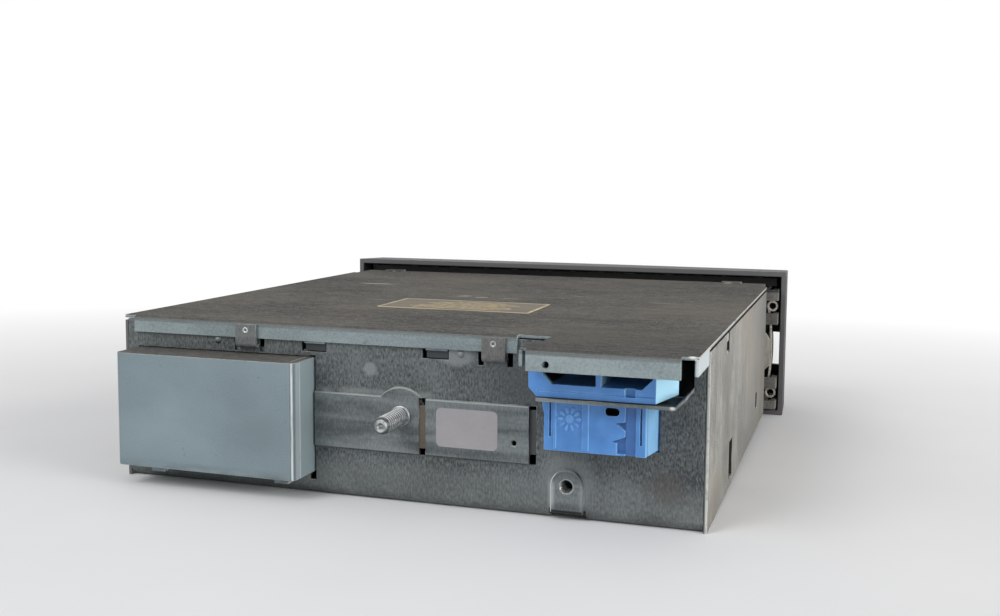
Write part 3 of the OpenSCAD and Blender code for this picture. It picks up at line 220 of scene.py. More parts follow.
def ground_boss(s, colour):
    """Painted light and shade on the ground boss, and painted shade in the gap under it."""
    x, z = GROUND
    upright = s.inside(s.z, 3.4, z + 1, 1.5)
    # Painted highlight along the boss's edge on the +X side
    lit = s.both(s.inside(s.x, x + 3.5, x + 5.3, 0.5), upright)
    colour = s.mix(s.math("MULTIPLY", lit, 0.65), colour, (176, 181, 179))
    # Painted light, paler than the wall, along the boss's edge on the -X side
    far_side_light = s.both(s.inside(s.x, x - 5.4, x - 3.7, 0.5), upright)
    colour = s.mix(s.math("MULTIPLY", far_side_light, 0.45), colour, (146, 152, 151))
    # Painted shade in an arc above the hole
    ring = s.inside(s.stroke((x, BOSS_RISE, z), (6, 6, 6)), 0.2, 0.42, 0.06)
    brow = s.both(ring, s.range(s.z, 10, 12))
    colour = s.mix(s.math("MULTIPLY", brow, 0.5), colour, (70, 74, 76))
    # Painted shade in the gap under the boss, on the wall and on the foot of the boss's face
    across = s.inside(s.x, x - GROUND_GAP_HALF, x + GROUND_GAP_HALF, 0.1)
    gap = s.both(across, s.inside(s.z, *GROUND_GAP_Z, 0.15), s.range(s.y, 0.5, 0.3))
    under = s.both(across, s.inside(s.z, *GROUND_GAP_Z, 0.15), s.range(s.y, 1.2, 1.35))
    colour = s.mix(s.math("MAXIMUM", gap, under), colour, (10, 10, 10))
    # Painted highlight on the boss's slope that faces +X
    glow = s.both(s.inside(s.y, 0.2, 1.38, 0.05), s.range(s.facing[0], 0.25, 0.6),
                  s.inside(s.x, -48.5, -44, 0.3))
    return s.mix(glow, colour, (214, 217, 215))


def galvanised_sheet():
    """Mottled zinc with a fine upright grain, smoother where it is pressed out of the wall."""
    s = Shader("galvanised_sheet", metallic=0.15)
    grain = s.noise(0.45, 5, (1, 1, 2.6))
    mottle = s.noise(1.1, 5, (1, 1, 1.3))
    haze = s.noise(18, 5)
    tone = s.total((grain, 0.5), (mottle, 0.2), (haze, 0.3))
    # The flat wall, paler near the floor and duller beside the plug block
    wall = s.mix(s.range(tone, 0.41, 0.59), (49, 53, 55), (107, 113, 114))
    wall = s.mix(s.range(s.z, 13, 9, 0, 0.3), wall, (122, 127, 127))
    dull = s.both(s.inside(s.x, -46, -30, 6), s.inside(s.z, 31, 44, 3))
    wall = s.mix(s.math("MULTIPLY", dull, 0.6), wall, (58, 61, 64))
    # The pressed forms, and a pale bloom round the ground boss
    smear = s.noise(7, 5, (5, 1, 0.6), 0.5)
    pressed = s.mix(s.range(s.total((smear, 0.7), (grain, 0.3)), 0.38, 0.6), (74, 81, 83), (122, 129, 130))
    raised = s.range(s.y, 0.35, 0.6)
    colour = s.mix(raised, wall, pressed)
    about = s.range(s.stroke((GROUND[0], 0, GROUND[1] + 1.5), (10, 1.5, 10)), 0.05, 0.5, 0, 0.55)
    colour = s.mix(s.both(about, s.range(s.y, 0.1, 0.3, 1, 0)), colour, (120, 126, 125))
    # Slopes of the pressed forms: bright above, dark below and on the side away from the light
    slope = s.inside(s.y, 0.08, 1.36, 0.04)
    upper = s.both(slope, s.range(s.facing[2], 0.15, 0.6), s.range(haze, 0.3, 0.5, 0.4, 0.9))
    colour = s.mix(upper, colour, (158, 164, 162))
    colour = s.mix(s.both(slope, s.range(s.facing[2], -0.15, -0.6)), colour, (58, 62, 64))
    shaded = s.both(slope, s.range(s.facing[0], -0.25, -0.6), s.range(s.z, 15, 14))
    colour = s.mix(shaded, colour, (50, 53, 54))
    # A painted highlight along the top of the pressed band, pale places, the brown slot and the grime at the
    # foot
    # Painted highlight along the top of the pressed band
    halo = s.both(s.inside(s.z, 30.4, 32.2, 0.5), s.inside(s.x, -12, 26, 1),
                  s.range(s.noise(5, 3), 0.35, 0.55, 0.2, 0.7))
    colour = s.mix(s.both(halo, s.range(s.y, 0.1, 0.3, 1, 0)), colour, (126, 132, 130))
    pale = s.math("MAXIMUM", s.stroke((7.1, 0, 38), (2.6, 1.5, 2.6)), s.stroke((-19, 0, 43), (7, 1.5, 3.2)))
    colour = s.mix(s.range(pale, 0.05, 0.45, 0, 0.7), colour, (132, 137, 138))
    brown = s.both(s.inside(s.x, *WALL_SLOT_X, 0.2), s.range(s.y, 0.3, 0.5, 1, 0),
                   s.inside(s.z, *WALL_SLOT_Z, 0.2))
    colour = s.mix(s.math("MULTIPLY", brown, 0.8), colour, (104, 92, 78))
    grime = s.both(s.range(s.z, 0, 5, 1, 0), s.range(s.noise(5, 4, (4, 1, 1)), 0.4, 0.65))
    colour = s.mix(s.math("MULTIPLY", grime, 0.6), colour, (58, 58, 56))
    # The cover clips, a stain, painted shade on the shelf under the plug block and a painted glint on the
    # shelf's corner
    clip = s.both(s.range(s.y, 1.2, 1.5), s.range(s.z, 38, 40))
    darker = s.mix(s.range(s.total((mottle, 0.5), (grain, 0.5)), 0.4, 0.6), (84, 84, 83), (108, 108, 106))
    colour = s.mix(s.both(clip, s.range(s.x, 0, 2, 1, 0.45)), colour, darker)
    stain = s.both(s.stroke((-78, 0, 11), (8, 2, 7)), s.range(s.noise(2.5, 5), 0.35, 0.55))
    colour = s.mix(s.range(stain, 0.05, 0.5, 0, 0.6), colour, (80, 77, 74))
    # Painted shade on the shelf's upper face, under the plug block and the lid
    ledge = s.both(s.range(s.y, 1.5, 2), s.range(s.x, -44, -45), s.range(s.z, 33, 34), s.range(s.z, 41, 40))
    colour = s.mix(s.both(ledge, s.range(s.facing[2], 0.3, 0.6)), colour, (48, 49, 49))
    # Painted glint on the shelf's corner
    glint = s.stroke((-81.6, 15.5, 35.6), (1.4, 2.5, 0.9))
    colour = s.mix(s.range(glint, 0.1, 0.5), colour, (246, 246, 242))
    colour = ground_boss(s, s.worn_edges(colour, (150, 153, 152), 0.5, 0.62))
    # Painted shade inside the case: on the inner side of the wall and the cut edges within it, darker further
    # in
    within = s.both(s.range(s.y, -0.12, -0.04, 1, 0), s.range(s.z, 3.5, 4.5))
    inner = s.mix(s.range(s.y, -1.2, -0.9), (40, 41, 41), (66, 68, 68))
    s.set("Base Color", s.mix(within, colour, inner))
    s.set("Roughness", s.range(tone, 0.3, 0.7, 0.46, 0.62))
    s.bump(s.total((grain, 0.7), (mottle, 0.3)), 0.05)
    return s.material


def side_sheet():
    """Dull zinc with upright streaks, warm stains, painted shade on its cut edges and top edge, and a dirty
    lower edge.
    """
    s = Shader("side_sheet", metallic=0.15)
    s.set("Specular IOR Level", 0.2)
    streak = s.noise(9, 6, (1, 1, 2.4), 0.2)
    fine = s.noise(0.9, 5, (1, 1, 4))
    cloud = s.noise(26, 5, (1, 1, 1.3))
    grain = s.noise(0.5, 4)
    tone = s.total((streak, 0.22), (fine, 0.28), (cloud, 0.25), (grain, 0.25))
    colour = s.mix(s.range(tone, 0.43, 0.57), (104, 103, 98), (162, 161, 155))
    colour = s.mix(s.range(s.y, -60, -150, 0, 0.85), colour, (102, 102, 99))
    stain = s.both(s.range(cloud, 0.48, 0.62), s.range(s.noise(10, 5, (1, 1, 3)), 0.42, 0.58))
    colour = s.mix(s.math("MULTIPLY", stain, 0.6), colour, (132, 118, 100))
    for y, z, wide, tall in SIDE_STAINS:
        run = s.both(s.stroke((SIDE_X, y, z), (4, wide, tall)), s.range(fine, 0.35, 0.6))
        colour = s.mix(s.range(run, 0.05, 0.5, 0, 0.45), colour, (112, 102, 90))
    foot = s.both(s.range(s.z, 1, 10, 1, 0), s.range(streak, 0.4, 0.6))
    colour = s.mix(s.math("MULTIPLY", foot, 0.5), colour, (96, 90, 82))
    colour = s.worn_edges(colour, (196, 195, 190), 0.5, 0.65)
    # The rear end with its bright corner, painted shade at the slit in the upper edge with a painted highlight
    # beside it, and painted shade on the cut edges and the top edge
    end = s.range(s.y, -0.35, -0.2)
    colour = s.mix(end, colour, (100, 104, 104))
    corner = s.both(end, s.range(s.x, -88.3, -88.5), s.range(s.noise(3, 3), 0.3, 0.5, 0.4, 1))
    colour = s.mix(corner, colour, (196, 196, 192))
    # Painted shade at the slit in the upper edge
    slit = s.both(s.inside(s.y, -40.6, -37.6, 0.3), s.range(s.z, 42.2, 42.6))
    colour = s.mix(s.math("MULTIPLY", slit, 0.8), colour, (46, 43, 40))
    # Painted highlight beside the slit
    lit = s.both(s.inside(s.y, -36.8, -34.6, 0.4), s.range(s.z, 42.2, 43))
    colour = s.mix(s.math("MULTIPLY", lit, 0.6), colour, (204, 202, 196))
    # Painted shade on the cut edges in the slits and on the top edge under the cover
    side = s.math("ABSOLUTE", s.facing[1], 0.0)
    cut = s.both(s.range(side, 0.5, 0.9), s.range(s.y, -3, -2, 1, 0))
    top = s.both(s.range(s.facing[2], 0.5, 0.9), s.range(s.z, 20, 21))
    dark = s.math("MAXIMUM", cut, top)
    s.set("Base Color", s.mix(s.math("MULTIPLY", dark, 0.85), colour, (40, 38, 35)))
    s.set("Roughness", s.range(tone, 0.35, 0.65, 0.42, 0.58))
    s.bump(s.total((fine, 0.5), (grain, 0.5)), 0.03)
    return s.material


def dusty_top(s):
    """Brown grey dust rubbed along the width of the case."""
    smear = s.noise(9, 5, (2, 1, 1))
    fine = s.noise(0.9, 5, (3, 1, 1))
    cloud = s.noise(40, 4, (1.4, 1, 1))
    speck = s.noise(0.6, 3)
    tone = s.total((smear, 0.12), (fine, 0.32), (cloud, 0.2), (speck, 0.36))
    dust = s.mix(s.range(tone, 0.43, 0.57), (76, 75, 73), (114, 112, 108))
    return s.mix(s.range(cloud, 0.44, 0.66, 0, 0.4), dust, (106, 99, 89)), tone, fine


def cover_sheet():
    """The cover: a dusty scratched top, and cleaner blue grey sheet on its bent flanges."""
    s = Shader("cover_sheet")
    dust, tone, fine = dusty_top(s)
    for x, y, length, width, turn in COVER_SMEARS:
        smear = s.both(s.stroke((x, y, CASE_H), (length, width, 4), turn), s.range(fine, 0.4, 0.6))
        dust = s.mix(s.range(smear, 0.05, 0.6, 0, 0.55), dust, (76, 72, 68))
    for x, y, length, width, turn in COVER_SCRATCHES:
        mark = s.stroke((x, y, CASE_H), (length, width, 2), turn)
        dust = s.mix(s.range(mark, 0.05, 0.35, 0, 0.85), dust, (186, 181, 172))
    for x, y, length, width in COVER_RUST:
        rust = s.both(s.stroke((x, y, CASE_H), (length, width, 4)), s.range(tone, 0.4, 0.6))
        dust = s.mix(s.range(rust, 0.04, 0.4, 0, 0.4), dust, (98, 89, 81))
    lid = s.both(s.range(s.y, -30, -4), s.range(s.x, -38, -46))
    dust = s.mix(s.math("MULTIPLY", lid, 0.35), dust, (66, 67, 68))
    # The bent flanges, cleaner than the top
    wash = s.noise(16, 5, (2, 1, 1))
    sheen = s.range(s.total((wash, 0.6), (s.noise(0.6, 4), 0.4)), 0.38, 0.62)
    steel = s.mix(sheen, (119, 130, 134), (148, 160, 162))
    spots = s.range(s.noise(1.8, 3), 0.66, 0.74)
    steel = s.mix(s.math("MULTIPLY", spots, 0.35), steel, (92, 92, 90))
    front = s.range(s.y, -60, -50, 1, 0)
    flat = s.math("MAXIMUM", s.range(s.facing[2], 0.3, 0.6), front)
    colour = s.mix(flat, steel, dust)
    # Folds, painted highlights along the side rims and on the lid's side tab, the rear tab and the painted
    # glint on the lid's corner
    fold = s.both(s.inside(s.facing[2], 0.12, 0.93, 0.05), s.range(s.y, -2, -1))
    colour = s.mix(s.math("MULTIPLY", fold, 0.55), colour, (84, 82, 80))
    brow = s.both(s.inside(s.z, CASE_H - 1.6, CASE_H - 0.7, 0.2), s.range(s.facing[2], 0.3, 0.5, 1, 0))
    colour = s.mix(s.both(brow, s.range(wash, 0.4, 0.6, 0.2, 0.7)), colour, (92, 92, 90))
    colour = s.worn_edges(colour, (168, 169, 166), 0.52, 0.64)
    # Painted highlight along the cover's side rims
    side = s.math("MAXIMUM", s.range(s.x, -88.7, -88.4, 1, 0), s.range(s.x, 88.4, 88.7))
    rim = s.both(side, s.range(s.facing[2], 0.6, 0.8, 1, 0), s.range(s.z, CASE_H - 0.6, CASE_H - 0.45),
                 s.range(s.noise(6, 3, (1, 2, 1)), 0.3, 0.5, 0.3, 1))
    tab = s.both(s.range(s.y, 0.0, 0.1, 1, 0), s.range(s.z, 46, 45.5), s.range(s.y, -3, -2))
    colour = s.mix(tab, colour, (72, 75, 77))
    # Painted light on the lid's side tab
    ear = s.both(s.range(s.x, -88.2, -88.5), s.range(s.y, 0, 1), s.range(s.facing[2], 0.6, 0.4))
    colour = s.mix(s.math("MULTIPLY", ear, 0.7), colour, (208, 215, 217))
    # Painted glint on the lid's corner
    glint = s.stroke((-87.4, 21.5, CASE_H), (1.8, 1.6, 1.2))
    colour = s.mix(s.range(glint, 0.1, 0.5), colour, (250, 250, 246))
    s.set("Base Color", s.mix(rim, colour, (186, 184, 178)))
    s.set("Metallic", s.range(flat, 0, 1, 0.2, 0.0))
    s.set("Specular IOR Level", 0.02)
    s.set("Roughness", s.range(flat, 0, 1, 0.45, 0.7))
    s.bump(s.total((fine, 0.6), (tone, 0.4)), 0.03)
    return s.material


def amp_sheet():
    """The amplifier box: smooth painted zinc in front, dust on its top and dark grime at its foot."""
    s = Shader("amp_sheet")
    dust, tone, fine = dusty_top(s)
    wash = s.noise(22, 4, (1.4, 1, 1))
    grain = s.noise(0.5, 3)
    front = s.mix(s.range(s.total((wash, 0.7), (grain, 0.3)), 0.36, 0.64), (119, 133, 139), (135, 150, 156))
    speck = s.range(s.noise(1.4, 3), 0.7, 0.76)
    front = s.mix(s.math("MULTIPLY", speck, 0.5), front, (104, 112, 116))
    foot = s.both(s.range(s.z, 6.6, 9.4, 1, 0), s.range(s.noise(3, 4, (5, 1, 1)), 0.42, 0.62))
    front = s.mix(s.math("MULTIPLY", foot, 0.5), front, (70, 74, 76))
    # Painted light on the right side face
    front = s.mix(s.range(s.facing[0], -0.85, -0.97, 0, 0.8), front, (150, 165, 170))
    # The right bend: a light line, partly wear and partly painted highlight, between lines of painted shade,
    # and pale strips of painted highlight beside it
    corner = s.both(s.inside(s.facing[0], -0.9, -0.3, 0.06), s.range(s.y, 9, 9.8))
    worn = s.range(s.noise(0.6, 5, (1, 1, 10)), 0.34, 0.54, 0.25, 1)
    light = s.inside(s.facing[0], -0.66, -0.44, 0.08)
    front = s.mix(s.both(corner, s.math("SUBTRACT", 1.0, light), 0.6), front, (80, 85, 87))
    front = s.mix(s.both(corner, light, worn), front, (206, 210, 209))
    beside = s.range(s.facing[0], -0.9, -0.97)
    front = s.mix(s.both(beside, s.inside(s.y, 8.6, 10.4, 0.3), 0.45), front, (176, 184, 186))
    front = s.mix(s.both(beside, s.inside(s.y, 8.3, 8.7, 0.12), worn), front, (208, 213, 213))
    up = s.range(s.facing[2], 0.75, 0.97)
    top = s.mix(0.18, dust, (66, 63, 60))
    s.set("Base Color", s.worn_edges(s.mix(up, front, top), (150, 150, 145), 0.4, 0.55))
    s.set("Metallic", s.range(up, 0, 1, 0.15, 0.0))
    s.set("Specular IOR Level", 0.15)
    s.set("Roughness", s.range(up, 0, 1, 0.42, 0.62))
    s.bump(s.total((grain, 0.8), (tone, 0.2)), 0.02)
    return s.material


def blue_plastic():
    """Moulded blue plastic with a fine grain, paler at its edges, a little dirt with painted shade in its low
    places, and painted light on its upper block and right chamfer.
    """
    s = Shader("blue_plastic", roughness=0.42)
    cloud = s.noise(8, 4)
    grain = s.noise(0.35, 3)
    colour = s.mix(s.range(cloud, 0.35, 0.65), (64, 118, 182), (82, 140, 208))
    # Painted light on the upper block
    colour = s.mix(s.range(s.z, 36, 37.5, 0, 0.4), colour, (92, 152, 226))
    # Dirt with painted shade, stronger further in
    dirt_and_shade = s.both(s.range(s.noise(3, 5), 0.5, 0.66), s.range(s.y, -3, 9, 1, 0.2))
    colour = s.mix(s.math("MULTIPLY", dirt_and_shade, 0.35), colour, (50, 78, 112))
    # Painted highlight on the faces turned towards -X, such as the right chamfer
    right = s.both(s.range(s.facing[0], -0.35, -0.6), s.range(s.y, -0.5, 0.5), s.range(s.z, 34, 37, 0.42, 1))
    colour = s.mix(right, colour, (176, 230, 255))
    colour = s.worn_edges(colour, (116, 168, 220), 0.3, 0.55)
    # Painted shade in the chambers, and painted shade in the lines moulded round the lower one
    # Painted shade deep in the chambers and in the hollow
    mouth = s.both(s.range(s.y, 10.8, 12.8, 1, 0), s.range(s.z, 39.4, 39.8), s.inside(s.x, -77, -47.4, 0.2))
    depth = s.range(s.x, -61, -64, 1, 0.25)
    hollow = s.both(s.range(s.z, 31.3, 31.5), s.inside(s.z, 31.3, 33.8, 0.1),
                    s.inside(s.x, -67.3, -63.2, 0.1), s.range(s.y, 8.4, 8.8, 1, 0))
    # Painted shade in the slit and the groove
    slit = s.both(s.range(s.y, 7.9, 8.1, 1, 0), s.range(s.y, 7.3, 7.5), s.range(s.z, 35, 34))
    colour = s.mix(s.math("MULTIPLY", slit, 0.45), colour, (34, 70, 134))
    groove = s.both(s.inside(s.y, 8.05, 8.5, 0.05), s.range(s.z, 35, 34), s.inside(s.x, -72, -68, 0.2))
    colour = s.mix(s.math("MULTIPLY", groove, 0.5), colour, (40, 78, 142))
    s.set("Base Color", s.mix(s.math("MAXIMUM", s.both(mouth, depth), hollow), colour, (8, 12, 22)))
    s.set("Roughness", s.range(grain, 0.3, 0.7, 0.34, 0.48))
    s.bump(grain, 0.02)
    return s.material


def label_foil():
    """The top label: tan foil with a thin cream border and plain printed bars, all rubbed."""
    s = Shader("label_foil", roughness=0.5)
    s.set("Specular IOR Level", 0.15)
    lo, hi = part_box("top_label")
    half = (hi.x - lo.x) / 2 / MM
    front, back = lo.y / MM - ROW_Y, hi.y / MM - ROW_Y
    rub = s.range(s.noise(4, 5, (5, 1, 1)), 0.38, 0.6)
    foil = s.mix(s.noise(7, 5, (4, 1, 1)), (86, 80, 69), (114, 103, 84))
    bars = 0.0
    for i, reach in enumerate(LABEL_BARS):
        line = back - LABEL_MARGIN - i * LABEL_PITCH
        bar = s.both(s.inside(s.y, line - LABEL_BAR_HALF, line + LABEL_BAR_HALF, 0.15),
                     s.inside(s.x, -reach, reach - i, 0.3))
        bars = bar if i == 0 else s.math("MAXIMUM", bars, bar)
    foil = s.mix(s.both(bars, s.range(s.noise(1.6, 4), 0.4, 0.55, 0.3, 1)), foil, (192, 168, 116))
    core = s.both(s.inside(s.x, LABEL_RIM - half, half - LABEL_RIM, 0.1),
                  s.inside(s.y, front + LABEL_RIM, back - LABEL_RIM, 0.1))
    rim = s.math("MULTIPLY", s.math("SUBTRACT", 1.0, core), s.range(rub, 0, 1, 0.5, 1))
    s.set("Base Color", s.mix(rim, foil, (206, 190, 150)))
    s.bump(s.noise(0.6, 3), 0.01)
    return s.material


def sticker_paper():
    """A pale paper sticker with faint fibres and a yellowed rim."""
    s = Shader("sticker_paper", roughness=0.75)
    fibre = s.noise(0.5, 5, (3, 1, 1))
    cloud = s.noise(6, 4)
    colour = s.mix(s.total((fibre, 0.5), (cloud, 0.5)), (144, 142, 145), (164, 161, 163))
    speck = s.range(s.noise(1.1, 3), 0.68, 0.75)
    colour = s.mix(s.math("MULTIPLY", speck, 0.3), colour, (128, 122, 120))
    s.set("Base Color", s.worn_edges(colour, (176, 172, 172)))
    s.bump(fibre, 0.01)
    return s.material


def panel_black():
    """Black moulded plastic with a spark-eroded grain, dusty on its top and with painted light along its rear
    rim.
    """
    s = Shader("panel_black")
    s.set("Specular IOR Level", 0.3)
    grain = s.cells(0.35)
    fine = s.noise(0.3, 3)
    cloud = s.noise(20, 4)
    colour = s.mix(s.range(cloud, 0.35, 0.65), (30, 30, 32), (42, 42, 44))
    dust = s.both(s.range(s.facing[2], 0.5, 0.95), s.range(s.noise(9, 5, (3, 1, 1)), 0.3, 0.6, 0.35, 1))
    colour = s.mix(dust, colour, (76, 75, 74))
    # Painted light on the rear-facing rim
    rear = s.math("MULTIPLY", s.range(s.facing[1], 0.6, 0.95), s.range(s.y, -182, -180.2))
    colour = s.mix(s.math("MULTIPLY", rear, 0.8), colour, (104, 104, 106))
    s.set("Base Color", s.worn_edges(colour, (84, 84, 86), 0.2, 0.7))
    s.set("Roughness", s.range(fine, 0.3, 0.7, 0.42, 0.6))
    s.bump(s.total((grain, 0.6), (fine, 0.4)), 0.02)
    return s.material


def stud_steel():
    """Worn zinc plate, with painted shade in the roots of the thread and on its underside, and painted
    highlights on its upper crests.
    """
    s = Shader("stud_steel", metallic=0.4)
    across = s.math("SUBTRACT", s.x, STUD[0])
    along = s.math("SUBTRACT", s.z, STUD[1])
    squares = s.total((s.math("MULTIPLY", across, across), 1.0), (s.math("MULTIPLY", along, along), 1.0))
    reach = s.math("SQRT", squares, 0.0)
    cloud = s.noise(1.2, 4)
    colour = s.mix(s.range(cloud, 0.38, 0.62), (124, 128, 129), (192, 196, 196))
    # Painted shade in the roots of the thread
    root = s.both(s.inside(reach, 1.9, STUD_R - 0.12, 0.1), s.range(s.y, 1.6, 1.8))
    colour = s.mix(s.math("MULTIPLY", root, 0.85), colour, (44, 46, 47))
    # Painted shade on the underside
    colour = s.mix(s.range(s.facing[2], -0.2, -0.7, 0, 0.7), colour, (48, 50, 51))
    # Painted highlight on the upper crests
    crest = s.both(s.range(s.facing[2], 0.45, 0.8), s.range(reach, STUD_R - 0.2, STUD_R - 0.05))
    colour = s.mix(crest, colour, (232, 234, 233))
    s.set("Base Color", colour)
    s.set("Roughness", s.range(cloud, 0.3, 0.7, 0.3, 0.5))
    s.bump(cloud, 0.02)
    return s.material


def panel_grey():
    """The carrier: near black behind the panel, dusty grey on its side lugs."""
    s = Shader("panel_grey", roughness=0.6)
    cloud = s.noise(8, 5, (1, 1, 3))
    grain = s.noise(0.8, 4)
    tone = s.total((cloud, 0.6), (grain, 0.4))
    dark = s.mix(s.range(tone, 0.38, 0.62), (20, 20, 21), (38, 37, 36))
    grey = s.mix(s.range(tone, 0.38, 0.62), (78, 76, 74), (124, 121, 116))
    lug = s.both(s.range(s.math("ABSOLUTE", s.x, 0.0), 86.5, 88), s.range(s.z, 47, 46))
    s.set("Base Color", s.worn_edges(s.mix(lug, dark, grey), (126, 124, 120), 0.5, 0.62))
    s.bump(grain, 0.02)
    return s.material


def smoked_window():
    """Dark see-through plastic with fine wipe marks."""
    s = Shader("smoked_window")
    wipe = s.noise(1.2, 5, (12, 1, 1))
    s.set("Base Color", s.mix(wipe, (136, 143, 150), (156, 163, 170)))
    s.set("Roughness", s.range(wipe, 0.35, 0.65, 0.05, 0.14))
    s.set("Transmission Weight", 0.85)
    s.bump(wipe, 0.003)
    return s.material


def circuit_board():
    """Green solder mask with darker tracks in a maze of cells and a fine weave below."""
    s = Shader("board", roughness=0.4)
    track = s.range(s.cells(3.2, (1, 2.4, 1)), 0.45, 0.5)
    weave = s.noise(0.4, 2)
    colour = s.mix(s.math("MULTIPLY", track, 0.6), (36, 82, 50), (54, 112, 70))
    colour = s.mix(s.range(weave, 0.4, 0.6, 0, 0.3), colour, (30, 66, 44))
    # Painted shade on the board's two ends, beside the side walls
    s.set("Base Color", s.mix(s.range(s.math("ABSOLUTE", s.x, 0.0), 84.5, 86), colour, (34, 32, 29)))
    s.bump(s.total((track, 0.7), (weave, 0.3)), 0.02)
    return s.material


# Dark tone, light tone, roughness, metallic share, pattern size and stretch of the simpler finishes
SIMPLE = {
    "bright_zinc": ((146, 148, 147), (206, 207, 205), 0.3, 0.8, 1.5, (1, 1, 1)),
    "drive_sheet": ((132, 134, 132), (166, 168, 165), 0.42, 0.45, 6, (1, 5, 1)),
    "motor_can": ((146, 148, 148), (182, 184, 183), 0.34, 0.7, 3, (1, 1, 6)),
    "contact": ((176, 152, 92), (212, 190, 124), 0.3, 0.8, 1.2, (1, 5, 1)),
    "chip_black": ((32, 32, 35), (50, 50, 53), 0.55, 0.0, 0.6, (1, 1, 1)),
    "capacitor_sleeve": ((38, 52, 76), (54, 72, 100), 0.38, 0.0, 4, (1, 1, 4)),
    "heat_sink": ((150, 152, 152), (188, 190, 190), 0.38, 0.7, 1.2, (1, 1, 10)),
    "pale_plastic": ((204, 200, 186), (224, 221, 208), 0.5, 0.0, 5, (1, 1, 1)),
    "rubber": ((26, 26, 28), (44, 44, 45), 0.8, 0.0, 1.0, (1, 1, 1)),
    "drive_plastic": ((40, 40, 44), (60, 60, 64), 0.48, 0.0, 2, (1, 1, 1)),
    "lens": ((140, 166, 200), (176, 198, 224), 0.08, 0.0, 2, (1, 1, 1)),
    "key_plastic": ((34, 34, 37), (50, 50, 53), 0.45, 0.0, 0.5, (1, 1, 1)),
    "display": ((150, 160, 142), (172, 181, 163), 0.3, 0.0, 6, (4, 1, 1)),
    "encoder": ((92, 94, 97), (120, 122, 124), 0.42, 0.35, 2, (1, 4, 1)),
    "spring_steel": ((184, 178, 166), (236, 232, 222), 0.32, 0.4, 2.5, (1, 1, 5)),
    "blue_relief": ((80, 132, 196), (108, 160, 218), 0.4, 0.0, 1.0, (1, 1, 1)),
    "white_ink": ((206, 206, 200), (226, 226, 221), 0.55, 0.0, 0.8, (1, 1, 1)),
    "lcd_ink": ((58, 64, 58), (76, 83, 75), 0.5, 0.0, 0.8, (1, 1, 1)),
}


def simple_finish(name):
    """Two tones in a cloudy pattern with a fine grain that varies the gloss and the surface."""
    dark, light, rough, metallic, size, stretch = SIMPLE[name]
    s = Shader(name, metallic=metallic)
    cloud = s.noise(size * 3, 5, stretch)
    grain = s.noise(size / 3, 4, stretch)
    tone = s.total((cloud, 0.6), (grain, 0.4))
    colour = s.mix(s.range(tone, 0.36, 0.64), dark, light)
    s.set("Base Color", s.worn_edges(colour, tuple(min(255, c + 26) for c in light)))
    s.set("Roughness", s.range(grain, 0.3, 0.7, max(0.03, rough - 0.08), rough + 0.1))
    s.bump(grain, 0.01)
    return s.material


DETAILED = {
    "galvanised_sheet": galvanised_sheet, "side_sheet": side_sheet, "cover_sheet": cover_sheet,
    "amp_sheet": amp_sheet, "blue_plastic": blue_plastic, "label_foil": label_foil,
    "sticker_paper": sticker_paper, "panel_black": panel_black, "smoked_window": smoked_window,
    "board": circuit_board, "stud_steel": stud_steel, "panel_grey": panel_grey,
}
MATERIALS = {name: make() for name, make in DETAILED.items()}
MATERIALS.update({name: simple_finish(name) for name in SIMPLE})

for name, obj in frame["nodes"].items():
    for slot in obj.material_slots:
        slot.material = MATERIALS[SLOT_OF[name]]


# Pieces
def shade(mesh, angle=40):
    """Smooth shading that keeps edges sharper than an angle, in degrees."""
    mesh.polygons.foreach_set("use_smooth", [True] * len(mesh.polygons))
    mesh.set_sharp_from_angle(angle=math.radians(angle))


def piece(name, bm, node, finish=None):
    """A new piece that rides with a node's body, in the finish of that node or another one."""
    bmesh.ops.recalc_face_normals(bm, faces=bm.faces)
    mesh = bpy.data.meshes.new(name)
    bm.to_mesh(mesh)
    bm.free()
    shade(mesh)
    mesh.materials.append(MATERIALS[finish or SLOT_OF[node]])
    obj = bpy.data.objects.new(name, mesh)
    bpy.context.scene.collection.objects.link(obj)
    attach(obj, BODY_OF[node])
    return obj


# Rounding: the weld distance and the soft edges' width in millimetres, and what counts as flat and as sharp
WELD = 0.002
SOFT_MM = 0.5
FLAT_DEG = 0.4
SHARP_DEG = 32


def refined(node, width, segments=2, front=False, soft=None):
    """The node's own shape with rounded edges, whose faces carry the edge attribute for wear."""
    bm = bmesh.new()
    bm.from_mesh(frame["nodes"][node].data)
    bmesh.ops.remove_doubles(bm, verts=bm.verts, dist=WELD * MM)
    bmesh.ops.dissolve_limit(bm, angle_limit=math.radians(FLAT_DEG), verts=bm.verts, edges=bm.edges)
    worn = bm.faces.layers.float.new("edge")
    sharp = math.radians(SHARP_DEG)
    if soft:
        bmesh.ops.bevel(bm, geom=[e for e in bm.edges if soft(e)], offset=SOFT_MM * MM, offset_type="OFFSET",
                        segments=3, profile=0.5, affect="EDGES", clamp_overlap=False)
    edges = [e for e in bm.edges if len(e.link_faces) == 2 and e.calc_face_angle(0) > sharp]
    if front:
        first = min(v.co.y for v in bm.verts) + WELD * MM
        edges = [e for e in edges if max(v.co.y for v in e.verts) < first]
    rounded = bmesh.ops.bevel(bm, geom=edges, offset=width * MM, offset_type="OFFSET", segments=segments,
                              profile=0.5, affect="EDGES", clamp_overlap=False)
    for face in rounded["faces"]:
        face[worn] = 1
    obj = piece(node + "_shape", bm, node)
    normals = obj.modifiers.new("normals", "WEIGHTED_NORMAL")
    normals.keep_sharp = True
    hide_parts(node)
    return obj


